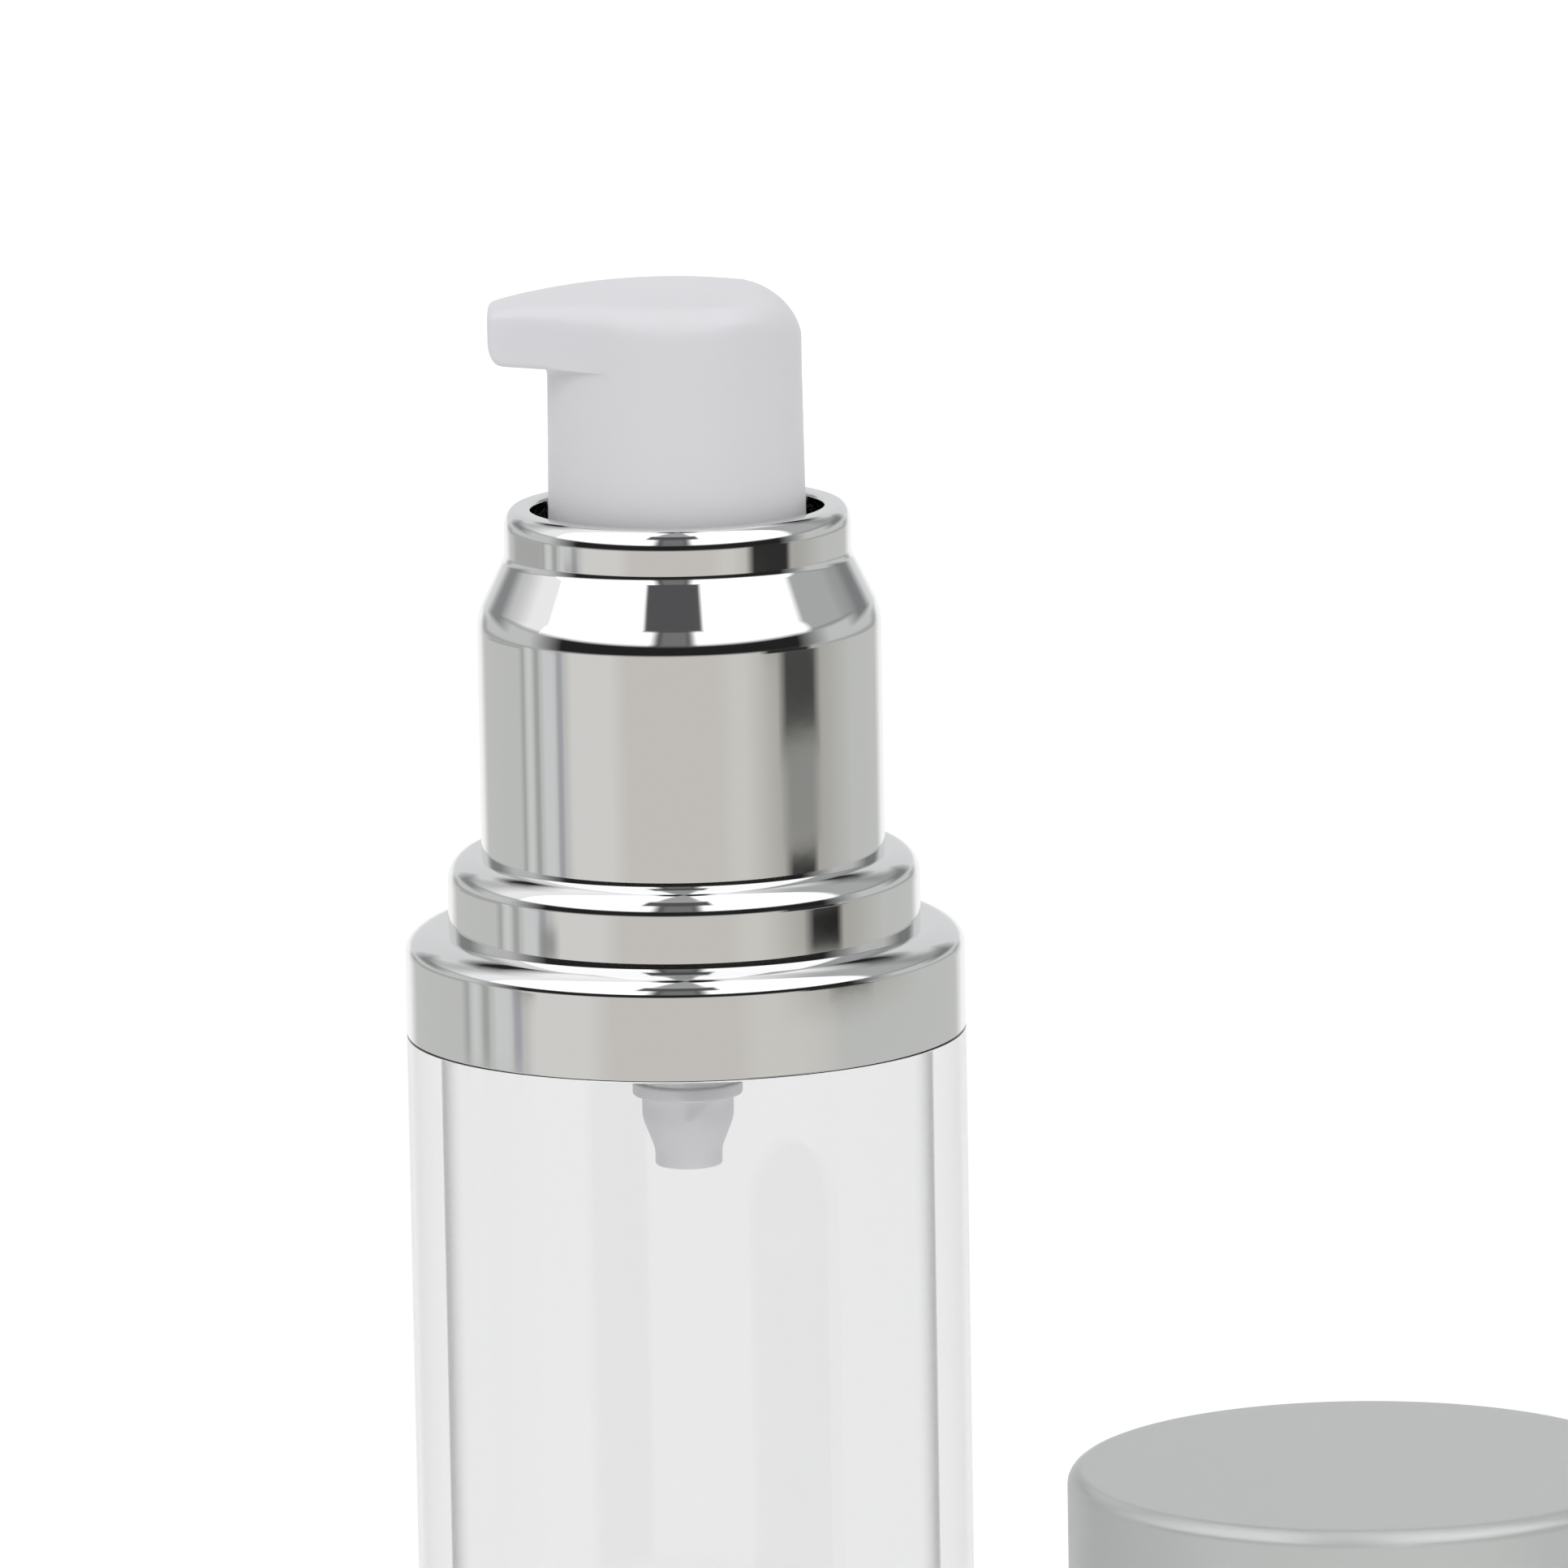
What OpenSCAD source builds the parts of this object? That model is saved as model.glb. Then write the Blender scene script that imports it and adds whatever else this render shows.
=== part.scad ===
// Airless pump bottle with its overcap taken off and standing beside it.
// Millimetres. The bottle's axis is Z, its base stands on z = 0 and its spout points to -X.

/* [Bottle] */
// Outer radius of the clear tube
tube_r = 17.5; // [16.5:0.25:22]
// Wall thickness of the clear tube
tube_wall = 2.1; // [1.2:0.1:2.6]
// Height of the clear tube, from its foot to the metallised ring
tube_h = 61; // [45:1:110]
// Height of the shoulder above the lower edge of the metallised ring
shoulder_rise = 3.4; // [2.6:0.1:4.2]
// Thickness of the shoulder's plate
shoulder_t = 1.8; // [1.2:0.1:2.4]
// Outer radius of the neck
neck_r = 11.2; // [10.8:0.1:11.6]
// Wall thickness of the neck
neck_wall = 1.6; // [1.2:0.1:2.2]
// Height of the neck above the shoulder
neck_h = 4; // [3.4:0.1:5]
// How far the neck's snap bead stands proud
bead_proud = 0.5; // [0.3:0.05:0.7]
// Height of the snap bead
bead_h = 1.3; // [1:0.1:1.6]
// Distance from the neck's top to the bead's underside
bead_drop = 2; // [1.8:0.1:2.4]
// Rounding of the tube's foot
foot_round = 0.5; // [0.2:0.1:0.8]
// Bevel of the shoulder's edge
shoulder_bevel = 0.5; // [0.2:0.1:0.8]
// Rounding between the tube's inside and the shoulder
ceiling_round = 0.8; // [0.4:0.1:1.2]

/* [Base plug] */
// Thickness of the base plug's disc
base_t = 1.6; // [1:0.1:2.4]
// Height of the base plug, with its skirt
base_h = 4; // [3:0.1:6]
// Thickness of the base plug's skirt
base_skirt = 1.4; // [1:0.1:2]
// Radius of the vent hole
vent_r = 0.75; // [0.5:0.05:1.2]
// Distance of the vent hole from the axis
vent_offset = 9; // [6:0.5:11]

/* [Follower] */
// Height of the follower, with its upper wiping lip
follower_h = 11.5; // [11:0.1:14]
// Height of each wiping lip
lip_h = 1.8; // [1.2:0.1:2.6]
// How far the upper lip stands above the crown
lip_above = 0.8; // [0.4:0.1:1.2]
// Wall thickness of the follower
follower_wall = 1.1; // [0.8:0.1:1.6]
// Thickness of each lip's tip
lip_tip = 0.5; // [0.3:0.05:0.7]
// Height of each lip's wiping edge
lip_edge = 0.4; // [0.2:0.05:0.6]
// How far the waist between the lips stays back from the lips
waist_back = 0.65; // [0.3:0.05:1]
// Radius of the well that takes the pump's lower end
well_r = 4.1; // [3.9:0.1:5.5]

/* [Metallised ring] */
// Height of the ring
ring_h = 6.66; // [6:0.02:7.4]
// Wall thickness of the ring
ring_wall = 1; // [0.7:0.05:1.3]
// Thickness of the ring's top
ring_top_t = 1; // [0.7:0.05:1.6]
// Rounding of the ring's upper edge
ring_round = 0.9; // [0.3:0.05:1.2]

/* [Metallised collar] */
// Thickness of the flange band around the closure
band_wall = 1.05; // [0.8:0.05:1.3]
// Rounding of the flange band's upper edge
band_round = 0.7; // [0.2:0.05:0.9]
// Outer radius of the collar's cylinder
sleeve_r = 12.6; // [12.2:0.05:12.9]
// Wall thickness of the collar
collar_wall = 0.95; // [0.7:0.05:1.1]
// Height of the cylinder above the flange
sleeve_h = 15.2; // [14:0.1:20]
// Height of the taper above the cylinder
taper_h = 3.45; // [2.5:0.05:5]
// Outer radius of the lip
lip_r = 10.8; // [10.5:0.05:11.2]
// Height of the lip above the taper
collar_lip_h = 3.2; // [2.4:0.1:4.5]
// Radius of the hole that the actuator moves in
lip_hole_r = 9.1; // [8.6:0.05:9.4]
// Thickness of the lip's inward rim
lip_t = 1; // [0.7:0.05:1.4]
// Rounding of the lip's upper edge
lip_round = 0.45; // [0.2:0.05:0.7]

/* [Closure and gasket] */
// Wall thickness of the closure's skirt
closure_wall = 1.8; // [1.4:0.1:2]
// Thickness of the closure's plate
plate_t = 1.1; // [0.8:0.1:1.6]
// Height of the closure's upper tube, which steadies the collar
guide_h = 10; // [6:0.5:12]
// Wall thickness of the closure's upper tube
guide_wall = 1.15; // [0.8:0.05:1.5]
// Thickness of the gasket
gasket_t = 0.7; // [0.4:0.1:1.2]

/* [Pump] */
// Travel of the actuator
stroke = 6; // [4:0.1:6.4]
// Radius of the pump's bore
bore_r = 4.8; // [4.5:0.05:5.2]
// Wall thickness of the pump cylinder
chamber_wall = 1; // [0.8:0.05:1.2]
// Thickness of the pump cylinder's flange
flange_t = 1; // [0.8:0.1:1.6]
// Thickness of the pump cylinder's floor
floor_t = 1.2; // [0.8:0.1:1.8]
// Bevel of the pump cylinder's lower edge
floor_bevel = 0.8; // [0.4:0.1:1.2]
// Height of the pump cylinder above the closure's plate
upstand_h = 5.3; // [4.8:0.1:7]
// Length of the pipe under the pump cylinder
pipe_h = 4; // [3.4:0.1:4.4]
// Outer radius of that pipe
pipe_r = 3.2; // [3.1:0.05:3.4]
// Depth of the lock ring's plug in the pump cylinder
plug_h = 2; // [1.4:0.1:2.6]
// Thickness of the lock ring's flange
lock_t = 1.2; // [0.8:0.1:1.8]
// How far the lock ring's flange reaches past the pump cylinder
lock_over = 0.6; // [0.2:0.1:1]

/* [Inlet valve] */
// Radius of the inlet seat's rim
rim_r = 3.45; // [3.4:0.05:3.6]
// Thickness of the rim
rim_t = 0.86; // [0.6:0.02:1.2]
// Radius of the inlet seat below the rim
seat_r = 2.87; // [2.7:0.01:3]
// Height of the straight part below the rim
seat_h = 1.5; // [1.2:0.1:2]
// Height of the taper
seat_taper_h = 1.96; // [1.6:0.02:2.4]
// Radius of the tip
tip_r = 2.1; // [1.8:0.05:2.3]
// Height of the tip
tip_h = 1.04; // [0.6:0.02:1.3]
// Radius of the cage that the inlet ball moves in
cage_r = 1.9; // [1.75:0.05:2]
// Wall thickness of the cage
cage_wall = 0.65; // [0.5:0.05:0.7]
// Height of the ball's seat above the tip's lower end
seat_rise = 1.9; // [1.6:0.1:2.2]
// Radius of the inlet passage
inlet_r = 1.1; // [0.8:0.05:1.2]
// Radius of the inlet ball
ball_r = 1.5; // [1.4:0.05:1.6]
// Lift of the inlet ball
ball_lift = 2; // [0.8:0.1:2.1]

/* [Stem and piston] */
// Outer radius of the stem
stem_r = 2.5; // [2.3:0.05:2.7]
// Radius of the stem's bore
stem_bore = 1.4; // [1.2:0.05:1.6]
// Radius of the stem's side ports
port_r = 0.45; // [0.3:0.05:0.55]
// Radius of the stem's stop collar
stop_r = 3.2; // [3:0.05:3.4]
// Height of the stop collar
stop_h = 1.2; // [0.8:0.1:1.6]
// Free play of the seal along the stem
seal_play = 0.8; // [0.4:0.1:1]
// Height of the seal's inner sleeve
seal_sleeve_h = 1.5; // [1.4:0.1:2]
// Thickness of the seal's inner sleeve
seal_sleeve_t = 0.7; // [0.5:0.05:0.8]
// How far each lip of the seal reaches past the sleeve
seal_reach = 0.9; // [0.5:0.05:1.1]
// Thickness of the seal's lips
seal_lip_t = 0.5; // [0.4:0.05:0.6]
// Thickness of the seal's web between its lips
seal_web = 0.8; // [0.6:0.05:1]
// How far the seal's lips lean outwards
seal_lean = 0.3; // [0.15:0.05:0.4]
// Radius of the rod's foot
foot_r = 3.6; // [3.3:0.05:3.7]
// Height of the rod's foot
foot_h = 1.2; // [0.8:0.1:1.6]
// Bevel of the foot's lower edge
foot_bevel = 0.3; // [0.1:0.05:0.5]
// Length of the rod's spigot in the stem
spigot_h = 3; // [2:0.1:5]
// Height above the foot at which the spigot's grooves start
groove_rise = 0.2; // [0.1:0.05:0.3]

/* [Return spring] */
// Wire thickness
wire_d = 0.7; // [0.4:0.05:0.8]
// Number of turns
turns = 7; // [4:0.5:8]
// Gap between the stem and the coil
coil_gap = 0.45; // [0.35:0.05:0.7]

/* [Actuator] */
// Radius of the barrel at its lower edge
barrel_r = 8.07; // [7.8:0.01:8.2]
// Radius of the barrel at the head
head_r = 7.9; // [7.6:0.05:8]
// Depth of the barrel inside the collar
barrel_depth = 6; // [3:0.5:8]
// Height from the collar's lip to the spout's underside
spout_rise = 9.2; // [8:0.1:12]
// Wall thickness of the barrel
barrel_wall = 1.3; // [1:0.05:1.6]
// Distance from the axis to the face of the spout
spout_reach = 11.53; // [10.5:0.01:13]
// Half the width of the spout at its face
spout_half = 3; // [2.2:0.1:3.6]
// Rounding of the spout's corners, seen from above
spout_round = 0.8; // [0.4:0.1:1.2]
// Rounding of the spout's lower edge
chin_round = 1; // [0.4:0.1:1.4]
// Height of the crown above the spout's underside
crown_h = 5.1; // [4.8:0.1:7]
// Radius of the crown, seen from the spout's end
crown_r = 21; // [16:0.5:40]
// Radius of the crown, seen from the side
crown_long_r = 42.7; // [35:0.1:60]
// Place of the crown's highest point along the spout, from the axis
crown_x = -0.8; // [-2:0.1:0]
// Radius of the rounding at the back of the crown
back_round = 4.8; // [3.6:0.1:5]
// Thickness of the head's top over its hollow
head_top_t = 2.3; // [2:0.1:2.6]
// Height of the channel's axis above the spout's underside
channel_rise = 2; // [1.9:0.05:2.2]
// Radius of the spout's channel
channel_r = 0.9; // [0.7:0.05:1.1]
// Wall thickness around the channel and the stem's socket
channel_wall = 1.2; // [0.8:0.05:1.4]
// Depth of the stem in its socket
socket_h = 5.5; // [4:0.1:7]
// Length of the stem above the lock ring
stem_out = 18.8; // [17:0.1:19.5]

/* [Overcap] */
// Free height over the actuator inside the overcap
headroom = 1; // [0.5:0.1:3]
// Wall thickness of the overcap's shell
shell_wall = 0.8; // [0.5:0.05:1]
// Thickness of the shell's top
shell_top_t = 0.9; // [0.6:0.05:1.4]
// Rounding of the shell's upper edge
shell_round = 0.8; // [0.3:0.05:1.2]
// Wall thickness of the overcap's liner above its grip
liner_wall = 1; // [0.7:0.05:1.3]
// Thickness of the liner's top
liner_top_t = 1; // [0.7:0.05:1.5]
// Height of the liner's grip on the flange band
grip_h = 4.2; // [3:0.1:4.4]
// Bevel at the grip's open end
grip_bevel = 0.4; // [0.2:0.1:0.6]
// Height of the slope above the grip
grip_slope = 0.8; // [0.5:0.1:1.2]
// How far the liner stays back from the shell's open end
liner_back = 0.4; // [0.2:0.1:0.8]
// Distance of the overcap from the bottle's axis, along X
cap_x = 39.5; // [36:0.5:60]
// Distance of the overcap from the bottle's axis, along -Y
cap_y = 49; // [0:0.5:60]

/* [Clearances] */
// Radial clearance of pieces pressed or snapped together
fit_gap = 0.05; // [0.02:0.01:0.1]
// Radial clearance of pieces that slide or turn on each other
run_gap = 0.05; // [0.02:0.01:0.1]
// Radial clearance of the overcap's grip on the flange band
cap_gap = 0.08; // [0.05:0.01:0.1]
// Gap at the stops of moving pieces
stop_gap = 0.3; // [0.1:0.05:0.3]
// Gap between moving pieces that rest on each other
rest_gap = 0.1; // [0.05:0.01:0.15]

/* [Hidden] */
$fn = 96;

clear_plastic = [0.90, 0.93, 0.95, 0.45];
white_plastic = [0.90, 0.90, 0.92];
milky_plastic = [0.84, 0.84, 0.86];
soft_plastic = [0.80, 0.82, 0.84];
bright_metal = [0.78, 0.78, 0.77];
matt_silver = [0.72, 0.74, 0.73];
steel = [0.60, 0.61, 0.63];

// Radii that follow each other outwards
inner_r = tube_r - tube_wall;
shoulder_r = tube_r - ring_wall - fit_gap;
neck_bore = neck_r - neck_wall;
bead_r = neck_r + bead_proud;
skirt_bore = bead_r + 2 * fit_gap;
closure_r = skirt_bore + closure_wall;
band_bore = closure_r + 2 * fit_gap;
band_r = band_bore + band_wall;
ring_hole = closure_r + 3 * fit_gap;
guide_r = sleeve_r - collar_wall - 2 * fit_gap;
chamber_r = bore_r + chamber_wall;
pipe_bore = cage_r + cage_wall + fit_gap;

// Levels of the shoulder and the neck, from the ring's lower edge upwards
ring_z = tube_h;
shoulder_z = ring_z + shoulder_rise;
ceiling_z = shoulder_z - shoulder_t;
neck_z = shoulder_z + neck_h;
bead_z = neck_z - bead_drop;
ring_top_z = ring_z + ring_h;
flange_z = neck_z + gasket_t;
plate_z = flange_z + flange_t;
plate_top_z = plate_z + plate_t;

// Levels of the collar
band_top_z = plate_top_z + fit_gap + collar_wall;
taper_z = band_top_z + sleeve_h;
lip_z = taper_z + taper_h;
lip_top_z = lip_z + collar_lip_h;

// Levels of the pump, from its top downwards
housing_z = plate_top_z + upstand_h;
lock_z = housing_z + lock_t;
stop_top_z = housing_z - plug_h - stop_gap;
stop_z = stop_top_z - stop_h;
sleeve_top_z = stop_z - seal_play - rest_gap;
sleeve_z = sleeve_top_z - seal_sleeve_h;
foot_top_z = sleeve_z - rest_gap;
foot_z = foot_top_z - foot_h;
chamber_z = foot_z - stroke - stop_gap;
floor_z = chamber_z - floor_t;
pipe_z = floor_z - pipe_h;

// Levels of the inlet seat, from its rim downwards, and of the ball in its cage
rim_z = pipe_z - rim_t;
seat_z = rim_z - seat_h;
taper_end_z = seat_z - seat_taper_h;
tip_z = taper_end_z - tip_h;
seat_edge_z = tip_z + seat_rise;
ball_z = seat_edge_z + sqrt(ball_r * ball_r - inlet_r * inlet_r) + rest_gap;
cage_top_z = ball_z + ball_r + ball_lift + stop_gap;

// Levels of the follower
follower_z = base_h + stop_gap;
crown_z = follower_z + follower_h - lip_above;
wiper_r = inner_r - run_gap;
waist_r = wiper_r - waist_back;
well_floor_z = follower_z + follower_wall;

// Levels of the stem, the actuator and the spring
stem_top_z = lock_z + stem_out;
barrel_z = lip_top_z - barrel_depth;
spout_z = lip_top_z + spout_rise;
crown_top_z = spout_z + crown_h;
socket_z = stem_top_z - socket_h;
socket_top_z = stem_top_z + stop_gap;
socket_r = stem_r + run_gap;
boss_r = socket_r + channel_wall;
channel_z = spout_z + channel_rise;
hollow_r = head_r - barrel_wall;
hollow_top_z = crown_top_z - head_top_t;
coil_r = stem_r + coil_gap + wire_d / 2;
spring_z = lock_z + rest_gap;
spring_top_z = socket_z - rest_gap;

// Sizes of the overcap, which stands on its open end
shell_bore = tube_r - shell_wall;
liner_r = shell_bore - fit_gap;
liner_bore = liner_r - liner_wall;
grip_bore = band_r + cap_gap;
cap_h = crown_top_z + headroom + liner_top_t + fit_gap + shell_top_t - ring_top_z;
liner_top_z = cap_h - shell_top_t - fit_gap;
grip_z = liner_back + grip_bevel;

// Points of an arc around a centre, from one angle to another
function arc(centre, radius, from, to, steps = 8) =
    [for (i = [0:steps]) let (a = from + (to - from) * i / steps)
        centre + radius * [cos(a), sin(a)]];

// Place where a line from the barrel touches the spout's corner, on the +Y side
corner_x = spout_round - spout_reach;
corner_y = spout_half - spout_round;
corner_far = norm([corner_x, corner_y]);
// The straight sides end this far inside the arcs, so that they cross them cleanly
touch_depth = 0.04;
tangent_turn = atan2(corner_y, corner_x) - acos((head_r - spout_round) / corner_far);
tangent_way = [cos(tangent_turn), sin(tangent_turn)];

// Ridge of the crown, seen from the side: a long arc that runs smoothly into the back's arc
back_over = 0.3;
ridge_low_x = -spout_reach - 1;
long_centre = [crown_x, crown_top_z - crown_long_r];
back_x = head_r - back_round + back_over;
back_centre = [back_x, long_centre[1]
    + sqrt(pow(crown_long_r - back_round, 2) - pow(back_x - crown_x, 2))];
ridge_turn = atan2(back_centre[1] - long_centre[1], back_x - crown_x);
ridge_start = acos((ridge_low_x - crown_x) / crown_long_r);
ridge_line = concat(arc(long_centre, crown_long_r, ridge_start, ridge_turn, 16),
    arc(back_centre, back_round, ridge_turn - 6, 4, 12));

// Solid of revolution around Z from points [radius, height]
module lathe(points) {
    rotate_extrude() polygon(points);
}

// Clear tube with its shoulder, neck and snap bead
module bottle_body() {
    color(clear_plastic)
        lathe(concat(
            [[inner_r, 0]],
            arc([tube_r - foot_round, foot_round], foot_round, -90, 0, 5),
            [[tube_r, ring_z], [shoulder_r, ring_z],
                [shoulder_r, shoulder_z - shoulder_bevel],
                [shoulder_r - shoulder_bevel, shoulder_z], [neck_r, shoulder_z],
                [neck_r, bead_z], [bead_r, bead_z], [bead_r, bead_z + bead_h / 2],
                [neck_r, bead_z + bead_h], [neck_r, neck_z],
                [neck_bore, neck_z], [neck_bore, ceiling_z]],
            arc([inner_r - ceiling_round, ceiling_z - ceiling_round], ceiling_round, 90, 0, 5)));
}

// Vented plug that closes the tube's lower end
module base_plug() {
    plug_r = inner_r - fit_gap;
    color(white_plastic)
        difference() {
            lathe([[0, 0], [plug_r, 0], [plug_r, base_h], [plug_r - base_skirt, base_h],
                [plug_r - base_skirt, base_t], [0, base_t]]);
            translate([0, vent_offset, -1]) cylinder(h = base_t + 2, r = vent_r);
        }
}

// Follower with two wiping lips and a well for the pump's lower end
module follower_piston() {
    well_out_r = well_r + follower_wall;
    skirt_r = waist_r - follower_wall;
    tip_in_r = wiper_r - lip_tip;
    lip_top_z = crown_z + lip_above;
    color(soft_plastic)
        lathe([[0, follower_z], [well_out_r, follower_z],
            [well_out_r, crown_z - follower_wall], [skirt_r, crown_z - follower_wall],
            [skirt_r, follower_z + lip_h], [tip_in_r, follower_z], [wiper_r, follower_z],
            [wiper_r, follower_z + lip_edge], [waist_r, follower_z + lip_h],
            [waist_r, lip_top_z - lip_h], [wiper_r, lip_top_z - lip_edge],
            [wiper_r, lip_top_z], [tip_in_r, lip_top_z], [skirt_r, crown_z],
            [well_r, crown_z], [well_r, well_floor_z], [0, well_floor_z]]);
}

// Bright ring that covers the tube's shoulder
module shoulder_ring() {
    ring_bore = tube_r - ring_wall;
    color(bright_metal)
        lathe(concat(
            [[ring_bore, ring_z], [tube_r, ring_z]],
            arc([tube_r - ring_round, ring_top_z - ring_round], ring_round, 0, 90),
            [[ring_hole, ring_top_z], [ring_hole, ring_top_z - ring_top_t],
                [ring_bore, ring_top_z - ring_top_t]]));
}

// Bright collar: flange band, cylinder, taper and lip around the actuator
module collar_shroud() {
    sleeve_bore = sleeve_r - collar_wall;
    lip_bore = lip_r - collar_wall;
    color(bright_metal)
        lathe(concat(
            [[band_bore, ring_top_z], [band_r, ring_top_z]],
            arc([band_r - band_round, band_top_z - band_round], band_round, 0, 90),
            [[sleeve_r, band_top_z], [sleeve_r, taper_z], [lip_r, lip_z]],
            arc([lip_r - lip_round, lip_top_z - lip_round], lip_round, 0, 90),
            [[lip_hole_r, lip_top_z], [lip_hole_r, lip_top_z - lip_t],
                [lip_bore, lip_top_z - lip_t], [lip_bore, lip_z], [sleeve_bore, taper_z],
                [sleeve_bore, band_top_z - collar_wall],
                [band_bore, band_top_z - collar_wall]]));
}

// Closure that snaps over the neck's bead, holds the pump and steadies the collar
module snap_closure() {
    hole_r = chamber_r + 2 * fit_gap;
    skirt_z = shoulder_z + stop_gap;
    hook_r = neck_r + 2 * fit_gap;
    guide_bore = guide_r - guide_wall;
    color(white_plastic)
        lathe([[hook_r, skirt_z], [closure_r, skirt_z], [closure_r, plate_top_z],
            [guide_r, plate_top_z], [guide_r, plate_top_z + guide_h],
            [guide_bore, plate_top_z + guide_h], [guide_bore, plate_top_z],
            [hole_r, plate_top_z], [hole_r, plate_z], [skirt_bore, plate_z],
            [skirt_bore, bead_z], [hook_r, bead_z - fit_gap]]);
}

// Flat seal between the neck and the pump cylinder's flange
module neck_gasket() {
    color(soft_plastic)
        lathe([[chamber_r + fit_gap, neck_z], [neck_r, neck_z], [neck_r, flange_z],
            [chamber_r + fit_gap, flange_z]]);
}

// Pump cylinder with its flange on the neck and the pipe for the inlet seat
module pump_housing() {
    color(white_plastic)
        lathe([[pipe_bore, pipe_z], [pipe_r, pipe_z], [pipe_r, floor_z],
            [chamber_r - floor_bevel, floor_z], [chamber_r, floor_z + floor_bevel],
            [chamber_r, flange_z], [neck_r, flange_z], [neck_r, plate_z], [chamber_r, plate_z],
            [chamber_r, housing_z], [bore_r, housing_z], [bore_r, chamber_z],
            [inlet_r, chamber_z], [inlet_r, cage_top_z], [pipe_bore, cage_top_z]]);
}

// Ring snapped into the pump cylinder's top, which guides the stem and seats the spring
module lock_ring() {
    plug_r = bore_r - fit_gap;
    lock_r = chamber_r + lock_over;
    color(white_plastic)
        lathe([[socket_r, housing_z - plug_h], [plug_r, housing_z - plug_h],
            [plug_r, housing_z], [lock_r, housing_z], [lock_r, lock_z], [socket_r, lock_z]]);
}

// Inlet seat with its rim, pressed into the pipe under the pump cylinder
module inlet_seat() {
    cage_out_r = cage_r + cage_wall;
    color(milky_plastic)
        lathe([[inlet_r, tip_z], [tip_r, tip_z], [tip_r, taper_end_z], [seat_r, seat_z],
            [seat_r, rim_z], [rim_r, rim_z], [rim_r, pipe_z], [cage_out_r, pipe_z],
            [cage_out_r, cage_top_z - fit_gap], [cage_r, cage_top_z - fit_gap],
            [cage_r, seat_edge_z + cage_r - inlet_r], [inlet_r, seat_edge_z]]);
}

// Ball of the inlet valve, on its seat
module inlet_ball() {
    color(steel)
        translate([0, 0, ball_z]) sphere(r = ball_r);
}

// Hollow stem with its stop collar and two side ports
module stem() {
    color(white_plastic)
        difference() {
            lathe([[stem_bore, foot_top_z], [stem_r, foot_top_z], [stem_r, stop_z],
                [stop_r, stop_z], [stop_r, stop_top_z], [stem_r, stop_top_z],
                [stem_r, stem_top_z], [stem_bore, stem_top_z]]);
            translate([0, 0, sleeve_z + seal_sleeve_h / 2])
                rotate([0, 90, 0])
                    cylinder(h = 4 * stem_r, r = port_r, center = true);
        }
}

// Foot under the seal, with a grooved spigot in the stem's bore
module piston_rod() {
    spigot_r = stem_bore - fit_gap;
    color(white_plastic)
        difference() {
            lathe([[0, foot_z], [foot_r - foot_bevel, foot_z], [foot_r, foot_z + foot_bevel],
                [foot_r, foot_top_z], [spigot_r, foot_top_z],
                [spigot_r, foot_top_z + spigot_h], [0, foot_top_z + spigot_h]]);
            for (side = [-1, 1])
                translate([side * spigot_r, 0, foot_top_z + groove_rise])
                    cylinder(h = spigot_h, r = port_r);
        }
}

// Seal that slides in the pump's bore and, a little, along the stem
module piston_seal() {
    seal_bore = stem_r + run_gap;
    sleeve_out_r = seal_bore + seal_sleeve_t;
    edge_r = bore_r - run_gap;
    waist = edge_r - seal_lean;
    web_z = sleeve_z + seal_sleeve_h / 2;
    half_web = seal_web / 2;
    low_z = sleeve_z - seal_reach;
    high_z = sleeve_top_z + seal_reach;
    color(soft_plastic)
        lathe([[seal_bore, sleeve_z], [sleeve_out_r, sleeve_z],
            [sleeve_out_r, web_z - half_web], [waist - seal_lip_t, web_z - half_web],
            [edge_r - seal_lip_t, low_z], [edge_r, low_z], [waist, web_z],
            [edge_r, high_z], [edge_r - seal_lip_t, high_z],
            [waist - seal_lip_t, web_z + half_web], [sleeve_out_r, web_z + half_web],
            [sleeve_out_r, sleeve_top_z], [seal_bore, sleeve_top_z]]);
}

// Return spring around the stem: one wire swept along a helix
module return_spring() {
    sides = 6;
    turn_steps = 16;
    steps = turns * turn_steps;
    wire_r = wire_d / 2;
    low_z = spring_z + wire_r;
    rise = (spring_top_z - wire_r - low_z) / steps;
    slope = atan2(rise * turn_steps, 2 * PI * coil_r);
    ring_points = [for (i = [0:steps]) let (turn = 360 * i / turn_steps)
        for (k = [0:sides - 1]) let (a = 360 * k / sides, out = coil_r + wire_r * cos(a),
            side = wire_r * sin(a) * sin(slope), up = wire_r * sin(a) * cos(slope))
            [out * cos(turn) + side * sin(turn), out * sin(turn) - side * cos(turn),
                low_z + rise * i + up]];
    walls = [for (i = [0:steps - 1]) for (k = [0:sides - 1])
        let (a = i * sides + k, b = i * sides + (k + 1) % sides)
            each [[a, a + sides, b], [b, a + sides, b + sides]]];
    first_end = [[for (k = [0:sides - 1]) k]];
    last_end = [[for (k = [sides - 1:-1:0]) steps * sides + k]];
    color(steel)
        polyhedron(points = ring_points, faces = concat(walls, first_end, last_end));
}

// Outline of the actuator's head, seen from above
module head_outline() {
    barrel_touch = (head_r - touch_depth) * tangent_way;
    corner_touch = [corner_x, corner_y] + (spout_round - touch_depth) * tangent_way;
    circle(r = head_r);
    for (side = [-1, 1]) translate([corner_x, side * corner_y]) circle(r = spout_round);
    polygon([[barrel_touch[0], barrel_touch[1]], [corner_touch[0], corner_touch[1]],
        [corner_x, corner_y], [-spout_reach, corner_y], [-spout_reach, -corner_y],
        [corner_x, -corner_y], [corner_touch[0], -corner_touch[1]],
        [barrel_touch[0], -barrel_touch[1]]]);
}

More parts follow.
